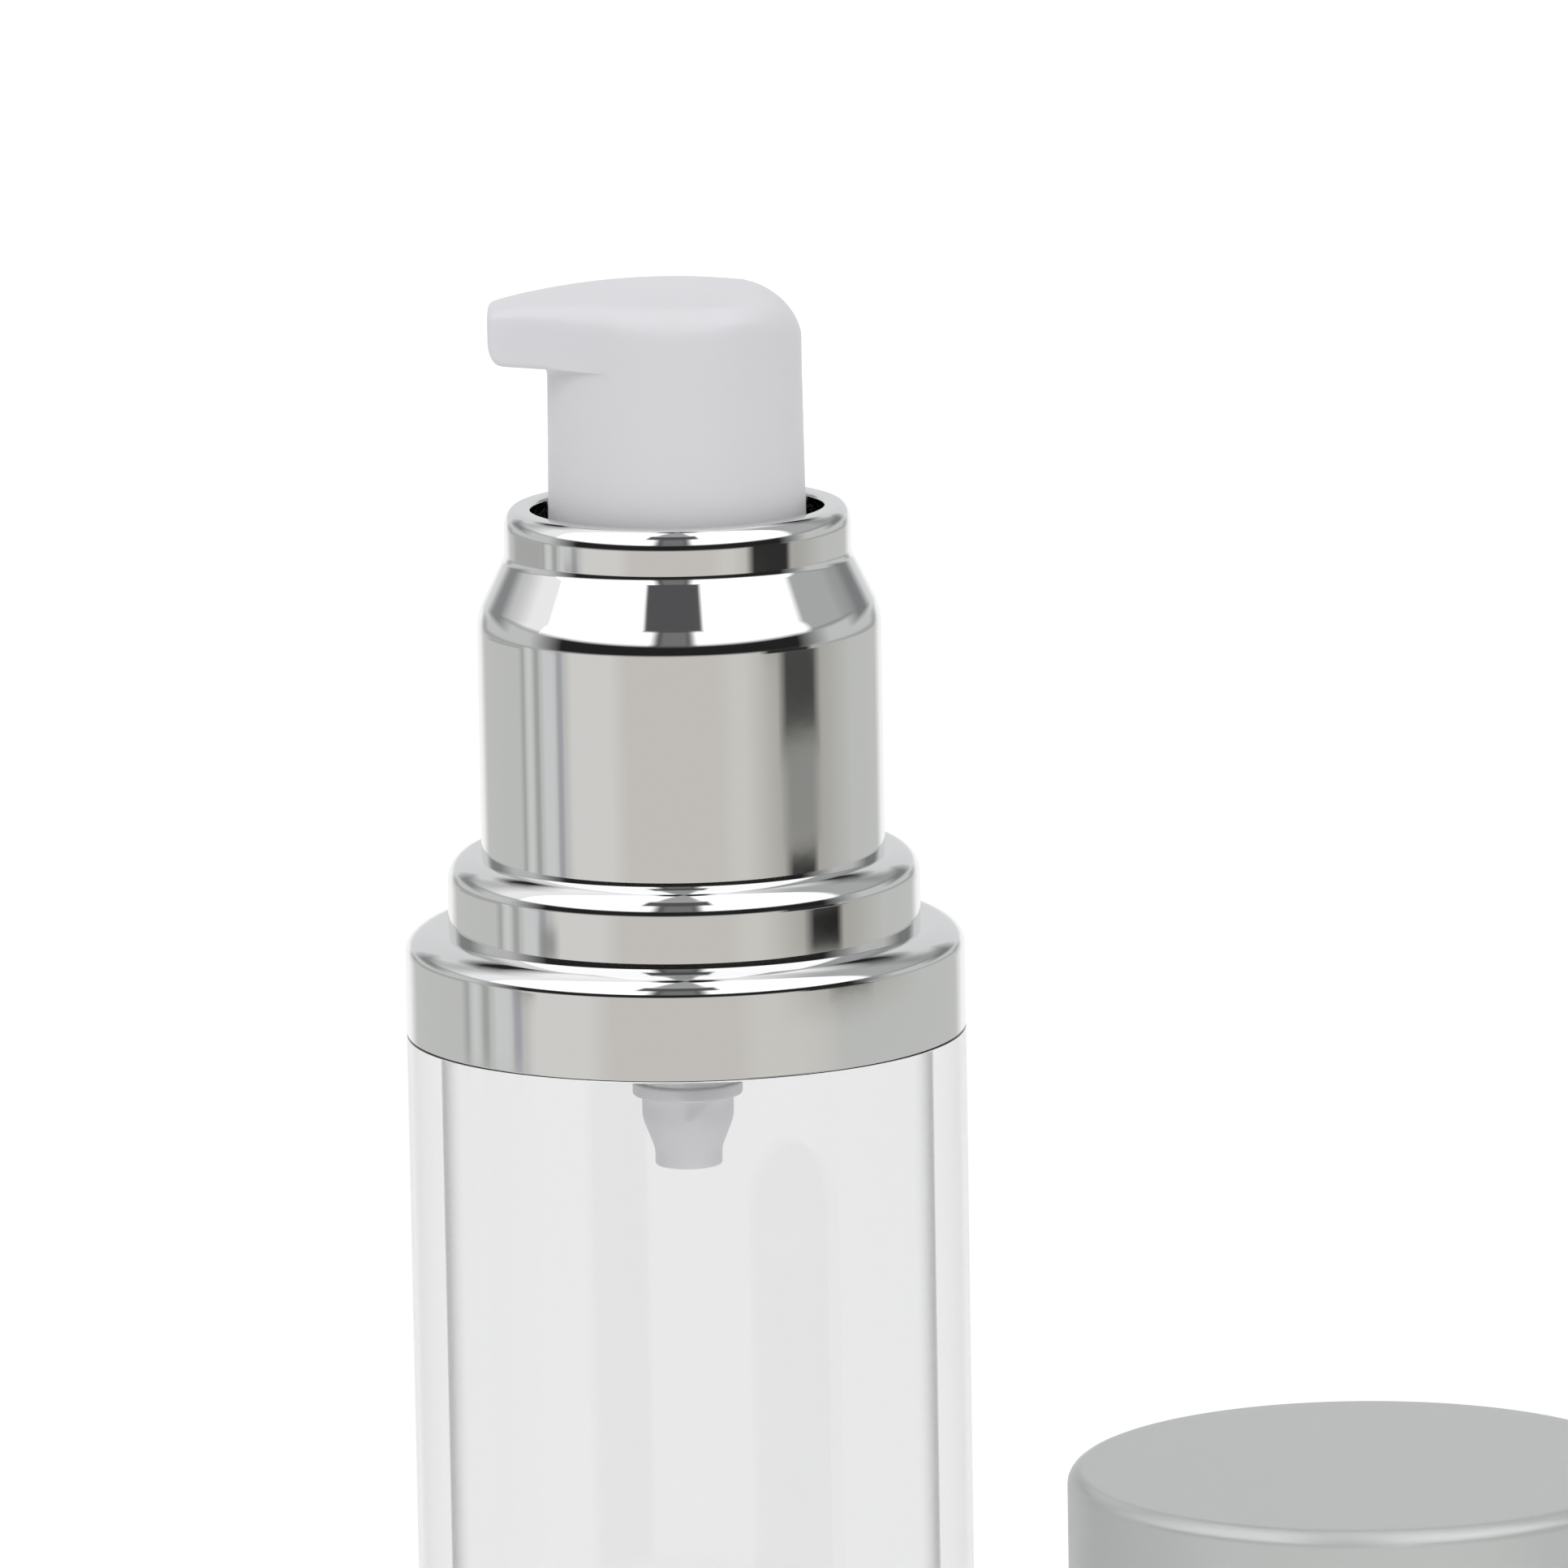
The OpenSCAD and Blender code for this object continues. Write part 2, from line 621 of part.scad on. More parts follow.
// Crown surface: the ridge line turned around an axis along X
module crown() {
    axis_z = crown_top_z - crown_r;
    last = ridge_line[len(ridge_line) - 1];
    translate([0, 0, axis_z])
        rotate([0, 90, 0])
            lathe(concat([[0, ridge_low_x]], [for (p = ridge_line) [p[1] - axis_z, p[0]]],
                [[0, last[0]]]));
}

// Side outline that rounds the lower edge of the spout's face
module chin_outline() {
    polygon(concat(
        [[head_r + 1, crown_top_z + 1], [-spout_reach, crown_top_z + 1]],
        arc([chin_round - spout_reach, spout_z + chin_round], chin_round, 180, 270, 6),
        [[head_r + 1, spout_z]]));
}

// Push button with its spout, the socket for the stem and the channel between them
module actuator() {
    low_hollow_r = barrel_r - barrel_wall;
    core_r = head_r - barrel_wall / 2;
    tube_out_r = channel_r + channel_wall;
    color(milky_plastic)
        difference() {
            union() {
                lathe([[0, barrel_z], [barrel_r, barrel_z], [head_r, spout_z],
                    [core_r, spout_z], [core_r, spout_z + chin_round],
                    [0, spout_z + chin_round]]);
                intersection() {
                    translate([0, 0, spout_z])
                        linear_extrude(crown_h + 1) head_outline();
                    crown();
                    rotate([90, 0, 0])
                        translate([0, 0, -2 * head_r])
                            linear_extrude(4 * head_r) chin_outline();
                }
            }
            difference() {
                translate([0, 0, barrel_z - 1])
                    cylinder(h = hollow_top_z - barrel_z + 1, r1 = low_hollow_r, r2 = hollow_r);
                translate([0, 0, socket_z]) cylinder(h = crown_h * 4, r = boss_r);
                translate([0, 0, channel_z])
                    rotate([0, -90, 0]) cylinder(h = spout_reach, r = tube_out_r);
            }
            translate([0, 0, socket_z - 1]) cylinder(h = socket_top_z - socket_z + 1, r = socket_r);
            translate([0, 0, socket_z]) cylinder(h = channel_z - socket_z, r = channel_r);
            translate([stem_bore, 0, channel_z])
                rotate([0, -90, 0]) cylinder(h = stem_bore + spout_reach + 1, r = channel_r);
        }
}

// Matt shell of the overcap
module cap_shell() {
    color(matt_silver)
        translate([cap_x, -cap_y, 0])
            lathe(concat(
                [[shell_bore, 0], [tube_r, 0]],
                arc([tube_r - shell_round, cap_h - shell_round], shell_round, 0, 90),
                [[0, cap_h], [0, cap_h - shell_top_t], [shell_bore, cap_h - shell_top_t]]));
}

// Liner of the overcap, with the grip that closes on the flange band
module cap_liner() {
    color(white_plastic)
        translate([cap_x, -cap_y, 0])
            lathe([[grip_bore + grip_bevel, liner_back], [liner_r, liner_back],
                [liner_r, liner_top_z], [0, liner_top_z], [0, liner_top_z - liner_top_t],
                [liner_bore, liner_top_z - liner_top_t],
                [liner_bore, grip_z + grip_h + grip_slope], [grip_bore, grip_z + grip_h],
                [grip_bore, grip_z]]);
}

bottle_body();
base_plug();
follower_piston();
shoulder_ring();
collar_shroud();
snap_closure();
neck_gasket();
pump_housing();
lock_ring();
inlet_seat();
inlet_ball();
stem();
piston_rod();
piston_seal();
return_spring();
actuator();
cap_shell();
cap_liner();
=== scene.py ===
# %% [markdown]
# # An airless pump bottle, dressed for its portrait
#
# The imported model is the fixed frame: it says where every piece is and how it moves.
# This script gives each piece its finished form and surface, builds a small studio
# around it and sets up the camera. Everything is in metres, with +Z up.

# %% Load the frame
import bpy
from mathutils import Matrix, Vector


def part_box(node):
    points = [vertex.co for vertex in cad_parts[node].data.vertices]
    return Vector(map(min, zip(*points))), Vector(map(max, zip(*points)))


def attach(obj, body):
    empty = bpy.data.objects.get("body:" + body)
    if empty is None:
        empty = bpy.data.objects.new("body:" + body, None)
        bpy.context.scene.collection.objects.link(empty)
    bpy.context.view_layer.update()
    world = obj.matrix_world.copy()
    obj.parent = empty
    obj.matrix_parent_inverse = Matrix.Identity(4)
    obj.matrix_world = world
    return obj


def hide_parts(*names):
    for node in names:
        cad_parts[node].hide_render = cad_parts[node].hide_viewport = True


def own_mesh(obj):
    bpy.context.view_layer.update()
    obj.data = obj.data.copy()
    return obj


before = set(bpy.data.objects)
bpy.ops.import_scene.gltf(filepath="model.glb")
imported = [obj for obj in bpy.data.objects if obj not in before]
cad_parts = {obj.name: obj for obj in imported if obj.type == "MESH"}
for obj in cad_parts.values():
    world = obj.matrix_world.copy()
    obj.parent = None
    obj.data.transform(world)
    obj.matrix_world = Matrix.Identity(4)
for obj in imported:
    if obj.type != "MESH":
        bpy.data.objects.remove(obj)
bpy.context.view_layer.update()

# %% Modules and the unit
import math

import bmesh
import bpy
from mathutils import Matrix, Vector

MM = 0.001

# %% [markdown]
# ## Sizes
#
# The outer sizes and the levels come from the frame, so the dressed pieces stay where
# the construction says. Walls and roundings that a box can't tell are named here, in
# millimetres, because that is how such a bottle is drawn.

# %% Levels and radii from the frame
def level(node, end):
    """Height of a node's foot (0) or top (1), in millimetres."""
    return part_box(node)[end].z / MM


def radius(node):
    """Outer radius of a turned node, in millimetres."""
    low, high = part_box(node)
    return (high.y - low.y) / 2 / MM


tube_r = radius("bottle_body")
neck_top = level("bottle_body", 1)
ring_foot, ring_top = level("shoulder_ring", 0), level("shoulder_ring", 1)
collar_top = level("collar_shroud", 1)
button_foot, button_top = level("actuator", 0), level("actuator", 1)
cap_top = level("cap_shell", 1)
print(f"tube radius {tube_r:.2f} mm, ring from {ring_foot:.2f} to {ring_top:.2f} mm")

# %% Walls of the clear tube
tube_wall = 2.1
tube_bore = tube_r - tube_wall
shoulder_top = 64.4
shoulder_under = 62.6
neck_r, neck_bore = 11.2, 9.6
bead_r, bead_foot, bead_h = 11.7, 66.4, 1.3
ring_step = 1.05
print(f"tube bore {2 * tube_bore:.1f} mm across")

# %% [markdown]
# ## Turned pieces
#
# Nearly every piece of the bottle is a turned shape. Each is made as on a lathe: a flat
# half section is drawn as one face, its corners are rounded with a vertex bevel, and
# the outline is spun once around the axis. Rounded corners matter more than anything
# else on polished pieces, because each one carries a bright line.

# %% Lathe helper
SPIN_STEPS = 160
WELD = 1e-7


def rounded_section(corners):
    """A bmesh with the outline of a half section. A corner is radius, height, rounding."""
    bm = bmesh.new()
    verts = [bm.verts.new((r * MM, 0, z * MM)) for r, z, _ in corners]
    bm.faces.new(verts)
    for vert, (_, _, rounding) in zip(verts, corners):
        if rounding:
            bmesh.ops.bevel(bm, geom=[vert], offset=rounding * MM, segments=6,
                            profile=0.5, affect="VERTICES", material=-1)
    bmesh.ops.delete(bm, geom=list(bm.faces), context="FACES_ONLY")
    on_axis = [e for e in bm.edges if all(abs(v.co.x) < WELD for v in e.verts)]
    bmesh.ops.delete(bm, geom=on_axis, context="EDGES")
    return bm


def spun(bm, centre=(0, 0), steps=SPIN_STEPS):
    """Spins the outline once around a vertical axis, welds it and turns it face out."""
    bmesh.ops.spin(bm, geom=list(bm.verts) + list(bm.edges), cent=(0, 0, 0), axis=(0, 0, 1),
                   dvec=(0, 0, 0), angle=math.tau, steps=steps, use_merge=True)
    bmesh.ops.remove_doubles(bm, verts=bm.verts, dist=WELD)
    bmesh.ops.dissolve_degenerate(bm, edges=bm.edges, dist=WELD)
    bmesh.ops.recalc_face_normals(bm, faces=bm.faces)
    bmesh.ops.translate(bm, verts=bm.verts, vec=(centre[0] * MM, centre[1] * MM, 0))
    return bm


def oval(r, z, across, up, steps=12):
    """Corners of an oval rounding, from an upright wall of radius r to a flat top at z."""
    turns = [math.pi / 2 * k / steps for k in range(steps + 1)]
    return [(r - across * (1 - math.cos(t)), z - up * (1 - math.sin(t)), 0) for t in turns]


# %% Piece helper
CREASE = math.radians(32)
FLAT_WEIGHT = 80


def finished(name, bm, body, nodes):
    """Makes a piece of a bmesh: smooth, with true flats, riding on its body."""
    mesh = bpy.data.meshes.new(name)
    bm.to_mesh(mesh)
    bm.free()
    mesh.shade_smooth()
    mesh.set_sharp_from_angle(angle=CREASE)
    piece = bpy.data.objects.new(name, mesh)
    bpy.context.scene.collection.objects.link(piece)
    flats = piece.modifiers.new("true_flats", "WEIGHTED_NORMAL")
    flats.weight = FLAT_WEIGHT
    flats.keep_sharp = True
    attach(piece, body)
    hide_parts(*nodes)
    print(f"{name}: {len(mesh.polygons)} faces, {piece.dimensions.z / MM:.2f} mm high")
    return piece


def turned(name, corners, body, nodes, centre=(0, 0)):
    """A turned piece from the corners of its half section."""
    return finished(name, spun(rounded_section(corners), centre), body, nodes)


# %% [markdown]
# ## The clear tube
#
# The tube is thick, clear plastic, polished inside and out. A thin shell with a painted
# edge could stand for it, but what one sees of it is refraction: the wall shows as two
# pale bands with a grey line where the bore begins. So it is turned with its real wall.
# The shoulder and the neck go up inside the ring.

# %% Clear tube
clear_tube = turned("clear_tube", [
    (tube_bore, 0, 0.15), (tube_r, 0, 0.5), (tube_r, ring_foot, 0.1),
    (tube_r - ring_step, ring_foot, 0), (tube_r - ring_step, shoulder_top, 0.5),
    (neck_r, shoulder_top, 0.2), (neck_r, bead_foot, 0.05), (bead_r, bead_foot, 0.08),
    (bead_r, bead_foot + bead_h / 2, 0.1), (neck_r, bead_foot + bead_h, 0.1),
    (neck_r, neck_top, 0.15), (neck_bore, neck_top, 0.15),
    (neck_bore, shoulder_under, 0.2), (tube_bore, shoulder_under, 0.8)],
    "container", ["bottle_body"])

# %% [markdown]
# ## Base plug and follower
#
# The plug closes the tube from below and is sunk flush with it. Its vent hole lets air
# in under the follower. The follower is a waxy cup with two wiping lips. It has a well
# in its middle, so that it can rise around the pump's lower end at the last stroke.
# Plain discs would do for a front view, but the tube is clear, so both are turned with
# all their steps. The vent stands off the axis, where no lathe reaches, so a boolean
# cuts it. Its tool flares at both ends and leaves the hole with soft edges.

# %% Base plug
plug_r = radius("base_plug")
plug_h = level("base_plug", 1)
plug_floor, plug_skirt = 1.6, 1.4
base_cup = turned("base_cup", [
    (0, 0, 0), (plug_r, 0, 0.2), (plug_r, plug_h, 0.15),
    (plug_r - plug_skirt, plug_h, 0.15), (plug_r - plug_skirt, plug_floor, 0.3),
    (0, plug_floor, 0)],
    "container", ["base_plug"])

# %% Helpers that cut
def cut(piece, cutter_bm, operation="DIFFERENCE"):
    """Cuts a tool out of a piece, or joins it on, for good."""
    mesh = bpy.data.meshes.new("tool")
    cutter_bm.to_mesh(mesh)
    cutter_bm.free()
    tool = bpy.data.objects.new("tool", mesh)
    bpy.context.scene.collection.objects.link(tool)
    boolean = piece.modifiers.new("cut", "BOOLEAN")
    boolean.operation, boolean.solver, boolean.object = operation, "EXACT", tool
    others = [m for m in piece.modifiers if m != boolean]
    for m in others:
        m.show_viewport = False
    bpy.context.view_layer.update()
    evaluated = piece.evaluated_get(bpy.context.evaluated_depsgraph_get())
    done = bpy.data.meshes.new_from_object(evaluated)
    piece.modifiers.remove(boolean)
    for m in others:
        m.show_viewport = True
    piece.data = done
    done.set_sharp_from_angle(angle=CREASE)
    bpy.data.objects.remove(tool)
    print(f"{piece.name}: {len(done.polygons)} faces after the cut")


def countersunk_pin(pin_r, sink, low, high, sides=32):
    """A pin along Z from low to high, which flares by sink where it leaves the piece."""
    over = 0.5
    return spun(rounded_section([
        (0, low - over, 0), (pin_r + sink + over, low - over, 0), (pin_r, low + sink, 0),
        (pin_r, high - sink, 0), (pin_r + sink + over, high + over, 0),
        (0, high + over, 0)]), steps=sides)


# %% Vent hole of the base plug
vent_r, vent_sink, vent_y = 0.75, 0.15, 9
vent = countersunk_pin(vent_r, vent_sink, 0, plug_floor)
bmesh.ops.translate(vent, verts=vent.verts, vec=(0, vent_y * MM, 0))
cut(base_cup, vent)

# %% Follower
wiper_r = radius("follower_piston")
follower_foot, follower_top = level("follower_piston", 0), level("follower_piston", 1)
follower_wall, lip_h, lip_edge, lip_tip = 1.1, 1.8, 0.4, 0.5
lip_reach, crown_sink = 0.65, 0.8
crown = follower_top - crown_sink
waist_r = wiper_r - lip_reach
skirt_r = waist_r - follower_wall
well_r = 4.1
follower = turned("follower", [
    (0, follower_foot, 0), (well_r + follower_wall, follower_foot, 0.4),
    (well_r + follower_wall, crown - follower_wall, 0.3), (skirt_r, crown - follower_wall, 0.4),
    (skirt_r, follower_foot + lip_h, 0.3), (wiper_r - lip_tip, follower_foot, 0.12),
    (wiper_r, follower_foot, 0.12), (wiper_r, follower_foot + lip_edge, 0.15),
    (waist_r, follower_foot + lip_h, 0.4), (waist_r, follower_top - lip_h, 0.4),
    (wiper_r, follower_top - lip_edge, 0.15), (wiper_r, follower_top, 0.12),
    (wiper_r - lip_tip, follower_top, 0.12), (skirt_r, crown, 0.5),
    (well_r, crown, 0.4), (well_r, follower_foot + follower_wall, 0.4),
    (0, follower_foot + follower_wall, 0)],
    "follower", ["follower_piston"])

# %% [markdown]
# ## What hangs in the tube
#
# Under the shoulder one sees the pump's lower end: the floor of the pump cylinder, its
# pipe, and the inlet seat with its rim and its tapered tip. One closed shape would look
# the same from the front, but from below one looks into the inlet. So they are two
# turned pieces with their bores, as they are in the real pump.

# %% Pump cylinder
flange_z, plate_z = 69.1, 70.1
pump_top = level("pump_housing", 1)
pipe_foot = level("pump_housing", 0)
chamber_r, pump_bore, pipe_r, pipe_bore = 5.8, 4.8, 3.2, 2.6
chamber_floor, floor_under, cage_top = 63.0, 61.8, 59.26
inlet_r = 1.1
pump_cylinder = turned("pump_cylinder", [
    (pipe_bore, pipe_foot, 0.05), (pipe_r, pipe_foot, 0.08), (pipe_r, floor_under, 0.3),
    (chamber_r, floor_under, 0.8), (chamber_r, flange_z, 0.2), (neck_r, flange_z, 0.1),
    (neck_r, plate_z, 0.1), (chamber_r, plate_z, 0.2), (chamber_r, pump_top, 0.1),
    (pump_bore, pump_top, 0.15), (pump_bore, chamber_floor, 0.2),
    (inlet_r, chamber_floor, 0.1), (inlet_r, cage_top, 0.05), (pipe_bore, cage_top, 0.1)],
    "container", ["pump_housing"])

# %% Inlet seat
seat_foot = level("inlet_seat", 0)
rim_r = radius("inlet_seat")
rim_t, seat_h, taper_h, edge_h = 0.86, 1.5, 1.96, 1.9
seat_r, tip_r, cage_r, cage_wall, cage_gap = 2.87, 2.1, 1.9, 0.65, 0.05
seat_edge = seat_foot + edge_h
seat_z = pipe_foot - rim_t - seat_h
inlet_tip = turned("inlet_tip", [
    (inlet_r, seat_foot, 0.1), (tip_r, seat_foot, 0.15), (tip_r, seat_z - taper_h, 0.3),
    (seat_r, seat_z, 0.4), (seat_r, pipe_foot - rim_t, 0.1), (rim_r, pipe_foot - rim_t, 0.15),
    (rim_r, pipe_foot, 0.15), (cage_r + cage_wall, pipe_foot, 0.05),
    (cage_r + cage_wall, cage_top - cage_gap, 0.08), (cage_r, cage_top - cage_gap, 0.08),
    (cage_r, seat_edge + cage_r - inlet_r, 0.1), (inlet_r, seat_edge, 0.05)],
    "container", ["inlet_seat"])

# %% [markdown]
# ## The return spring
#
# A steel wire, wound around the stem, pushes the button up again. A spring could be a
# bevelled curve, but a screw shape needs only one operator: a small circle of wire is
# spun around the axis and climbs a little at each step.

# %% Return spring
spring_foot, spring_head = level("return_spring", 0), level("return_spring", 1)
spring_turns, turn_steps, wire_sides, wire_r = 7, 32, 10, 0.35
spring_h = spring_head - spring_foot
climb = (spring_h - 2 * wire_r) / (spring_turns * turn_steps)
bm = bmesh.new()
bmesh.ops.create_circle(bm, cap_ends=False, segments=wire_sides, radius=wire_r * MM)
bmesh.ops.rotate(bm, verts=bm.verts, cent=(0, 0, 0),
                 matrix=Matrix.Rotation(math.pi / 2, 3, "X"))
bmesh.ops.translate(bm, verts=bm.verts, vec=((radius("return_spring") - wire_r) * MM, 0,
                                             (spring_foot + wire_r) * MM))
bmesh.ops.spin(bm, geom=list(bm.verts) + list(bm.edges), cent=(0, 0, 0), axis=(0, 0, 1),
               dvec=(0, 0, climb * MM), angle=math.tau * spring_turns,
               steps=spring_turns * turn_steps, use_merge=False)
bmesh.ops.holes_fill(bm, edges=[e for e in bm.edges if e.is_boundary], sides=0)
bmesh.ops.recalc_face_normals(bm, faces=bm.faces)
spring_coil = finished("spring_coil", bm, "container", ["return_spring"])
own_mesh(spring_coil)

# %% [markdown]
# ## Bright ring and collar
#
# Both are moulded plastic with a mirror-bright metal coat. Upright bands mirror what
# stands a little below them, and rounded edges gather the two softboxes into lines.
# A round bevel would give every edge the same line. The ring, the flange and the lip
# have wide rolled edges, so their corners are ovals, and the other edges stay crisp.

# %% Ring over the shoulder
ring_wall = 1.0
ring_hole = 13.75
bright_ring = turned("bright_ring", [
    (tube_r - ring_wall, ring_foot, 0.08), (tube_r, ring_foot, 0.12),
    *oval(tube_r, ring_top, 2.1, 1.5), (ring_hole, ring_top, 0.1),
    (ring_hole, ring_top - ring_wall, 0.1), (tube_r - ring_wall, ring_top - ring_wall, 0.3)],
    "container", ["shoulder_ring"])

# %% Stepped collar
collar_wall = 0.95
band_r, band_bore, band_top = radius("collar_shroud"), 13.7, 72.35
sleeve_r, taper_foot, taper_top = 12.6, 87.35, 91.0
lip_r, lip_hole_r, lip_t = 10.8, 9.1, 1.0
bright_collar = turned("bright_collar", [
    (band_bore, ring_top, 0), (band_r, ring_top, 0), *oval(band_r, band_top, 1.6, 1.7),
    (sleeve_r, band_top, 0), (sleeve_r, taper_foot, 0.9), (lip_r, taper_top, 0.3),
    *oval(lip_r, collar_top, 0.75, 1.3), (lip_hole_r, collar_top, 0.3),
    (lip_hole_r, collar_top - lip_t, 0.1), (lip_r - collar_wall, collar_top - lip_t, 0.1),
    (lip_r - collar_wall, taper_top, 0.2), (sleeve_r - collar_wall, taper_foot, 0.2),
    (sleeve_r - collar_wall, band_top - collar_wall, 0.1),
    (band_bore, band_top - collar_wall, 0.3)],
    "container", ["collar_shroud"])

# %% [markdown]
# ## The push button
#
# Seen from above the button is a drop: a round barrel whose sides run straight to a
# narrow spout. Its top is one crowned surface that falls gently to the spout and quickly
# at the back. A cylinder and a box could be joined and bevelled, but a bevel breaks
# where they meet. So a ring of columns follows the drop, and rings are laid over it one
# after another by extruding the last one. Every edge gets a true rounding, and there is
# no seam between barrel, spout and crown.

# %% Outline of the button, seen from above
head_r, foot_r = 7.9, 8.07
spout_reach = -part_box("actuator")[0].x / MM
spout_half, spout_round = 3.0, 0.8
spout_under = 103.25
chin_round = 1.0
corner = Vector((spout_round - spout_reach, spout_half - spout_round))
side_turn = math.atan2(corner.y, corner.x) - math.acos((head_r - spout_round) / corner.length)
side_way = Vector((math.cos(side_turn), math.sin(side_turn)))
side_end = corner + spout_round * side_way
face_end = Vector((-spout_reach, corner.y))
BARREL_STEPS, FLANK_STEPS, CORNER_STEPS, FACE_STEPS = 44, 22, 6, 6


def half_outline():
    """Points and outward directions along the drop's +Y side, from the back to the spout."""
    made = []
    for i in range(BARREL_STEPS):
        turn = side_turn * i / BARREL_STEPS
        way = Vector((math.cos(turn), math.sin(turn)))
        made.append((head_r * way, way))
    for i in range(FLANK_STEPS):
        made.append(((head_r * side_way).lerp(side_end, i / FLANK_STEPS), side_way))
    for i in range(CORNER_STEPS):
        turn = side_turn + (math.pi - side_turn) * i / CORNER_STEPS
        way = Vector((math.cos(turn), math.sin(turn)))
        made.append((corner + spout_round * way, way))
    face_mid = Vector((-spout_reach, 0))
    for i in range(FACE_STEPS + 1):
        made.append((face_end.lerp(face_mid, i / FACE_STEPS), Vector((-1, 0))))
    return made


upper = half_outline()
mirrored = [(Vector((p.x, -p.y)), Vector((w.x, -w.y))) for p, w in upper[-2:0:-1]]
outline = upper + mirrored
barrel_way = [p.normalized() for p, _ in outline]
print(f"button outline: {len(outline)} columns, {spout_reach + foot_r:.2f} mm long")

# %% Crowned top of the button
ridge_sink, back_shift = 0.24, 0.4
crown_top = button_top - ridge_sink
crown_r, crown_long_r, crown_x, back_round, back_bend = 27.0, 43.5, -0.6, 4.3, 1.75
back_x = head_r - back_round + back_shift
long_z = crown_top - crown_long_r
back_z = long_z + math.sqrt((crown_long_r - back_round) ** 2 - (back_x - crown_x) ** 2)
meet_x = crown_x + (back_x - crown_x) * crown_long_r / (crown_long_r - back_round)


def crown_height(x, y):
    """Height of the crown over a place, from its ridge line turned around an axis along X."""
    if x < meet_x:
        ridge = long_z + math.sqrt(crown_long_r ** 2 - (x - crown_x) ** 2)
    else:
        past = min(max((x - back_x) / back_round, 0), 1)
        ridge = back_z + back_round * (1 - past ** back_bend) ** (1 / back_bend)
    axis = crown_top - crown_r
    return axis + math.sqrt((ridge - axis) ** 2 - y ** 2)


def chin_height(x):
    """Height of the spout's underside, which curls up at the face."""
    past = max(0, chin_round - spout_reach - x)
    return spout_under + chin_round - math.sqrt(max(chin_round ** 2 - past ** 2, 0))


print(f"crown at the spout's face: {crown_height(-spout_reach, 0):.2f} mm")

# %% Ring helper
def laid(rings, pole):
    """A skin over rings, each extruded from the last, capped below and closed at a pole."""
    bm = bmesh.new()
    loop = bmesh.ops.create_circle(bm, cap_ends=True, segments=len(rings[0]),
                                   radius=MM)["verts"]
    edges = list(bm.edges)
    for ring in rings:
        if ring is not rings[0]:
            made = bmesh.ops.extrude_edge_only(bm, edges=edges)["geom"]
            fresh = {v for v in made if isinstance(v, bmesh.types.BMVert)}
            made_edges = [e for e in made if isinstance(e, bmesh.types.BMEdge)]
            edges = [e for e in made_edges if set(e.verts) <= fresh]
            loop = [next(e.other_vert(v) for e in v.link_edges if e.other_vert(v) in fresh)
                    for v in loop]
        for vert, place in zip(loop, ring):
            vert.co = Vector(place) * MM
    bmesh.ops.pointmerge(bm, verts=loop, merge_co=Vector(pole) * MM)
    bmesh.ops.remove_doubles(bm, verts=bm.verts, dist=WELD)
    bmesh.ops.dissolve_degenerate(bm, edges=bm.edges, dist=WELD)
    bmesh.ops.recalc_face_normals(bm, faces=bm.faces)
    return bm


# %% Rings of the barrel, with the socket and the hollow inside it
hollow_foot_r, hollow_r, hollow_top = 6.77, 6.6, 106.05
boss_r, boss_foot, socket_r, socket_top = 3.75, 91.0, 2.55, 96.8
foot_round, lead_in = 0.3, 0.15
QUARTER_STEPS = 5
quarter = [math.pi / 2 * k / QUARTER_STEPS for k in range(QUARTER_STEPS + 1)]


def circle_ring(ring_r, z):
    """A round ring of the barrel, its boss or its hollow."""
    return [(way.x * ring_r, way.y * ring_r, z) for way in barrel_way]


rings = [circle_ring(socket_r, socket_top), circle_ring(socket_r, boss_foot + lead_in),
         circle_ring(socket_r + lead_in, boss_foot), circle_ring(boss_r, boss_foot),
         circle_ring(boss_r, hollow_top), circle_ring(hollow_r, hollow_top),
         circle_ring(hollow_foot_r, button_foot + lead_in),
         circle_ring(hollow_foot_r + lead_in, button_foot)]
rings += [circle_ring(foot_r - foot_round * (1 - math.sin(a)),
                      button_foot + foot_round * (1 - math.cos(a))) for a in quarter]
print("rings up to the barrel's foot:", len(rings))

# %% Rings of the spout's underside
fillet, edge_round = 0.9, 0.5
BARREL_RINGS, UNDER_RINGS = 6, 8
barrel_foot = button_foot + foot_round
barrel_h = spout_under - fillet - barrel_foot
rings += [circle_ring(foot_r + (head_r - foot_r) * k / BARREL_RINGS,
                      barrel_foot + barrel_h * k / BARREL_RINGS)
          for k in range(1, BARREL_RINGS + 1)]


def columns():
    """For each column its outline point and way out, its barrel way and point, its overhang."""
    for (point, way), radial in zip(outline, barrel_way):
        base = head_r * radial
        yield point, way, radial, base, (point - base).length


def fillet_ring(angle):
    """A ring of the fillet between the barrel and the underside."""
    ring = []
    for _, _, radial, base, overhang in columns():
        room = min(fillet, overhang / 2)
        place = base + radial * room * (1 - math.cos(angle))
        ring.append((place.x, place.y, spout_under - room * (1 - math.sin(angle))))
    return ring


def under_ring(share):
    """A ring of the underside, from the fillet to the rounded lower edge."""
    ring = []
    for point, way, radial, base, overhang in columns():
        start = base + radial * min(fillet, overhang / 2)
        end = point - way * min(edge_round, overhang / 3)
        place = start.lerp(end, share)
        ring.append((place.x, place.y, chin_height(place.x)))
    return ring


def edge_ring(angle):
    """A ring of the rounding between the underside and the head's side."""
    ring = []
    for point, way, _, _, overhang in columns():
        room = min(edge_round, overhang / 3)
        place = point - way * room * (1 - math.sin(angle))
        ring.append((place.x, place.y, chin_height(place.x) + room * (1 - math.cos(angle))))
    return ring


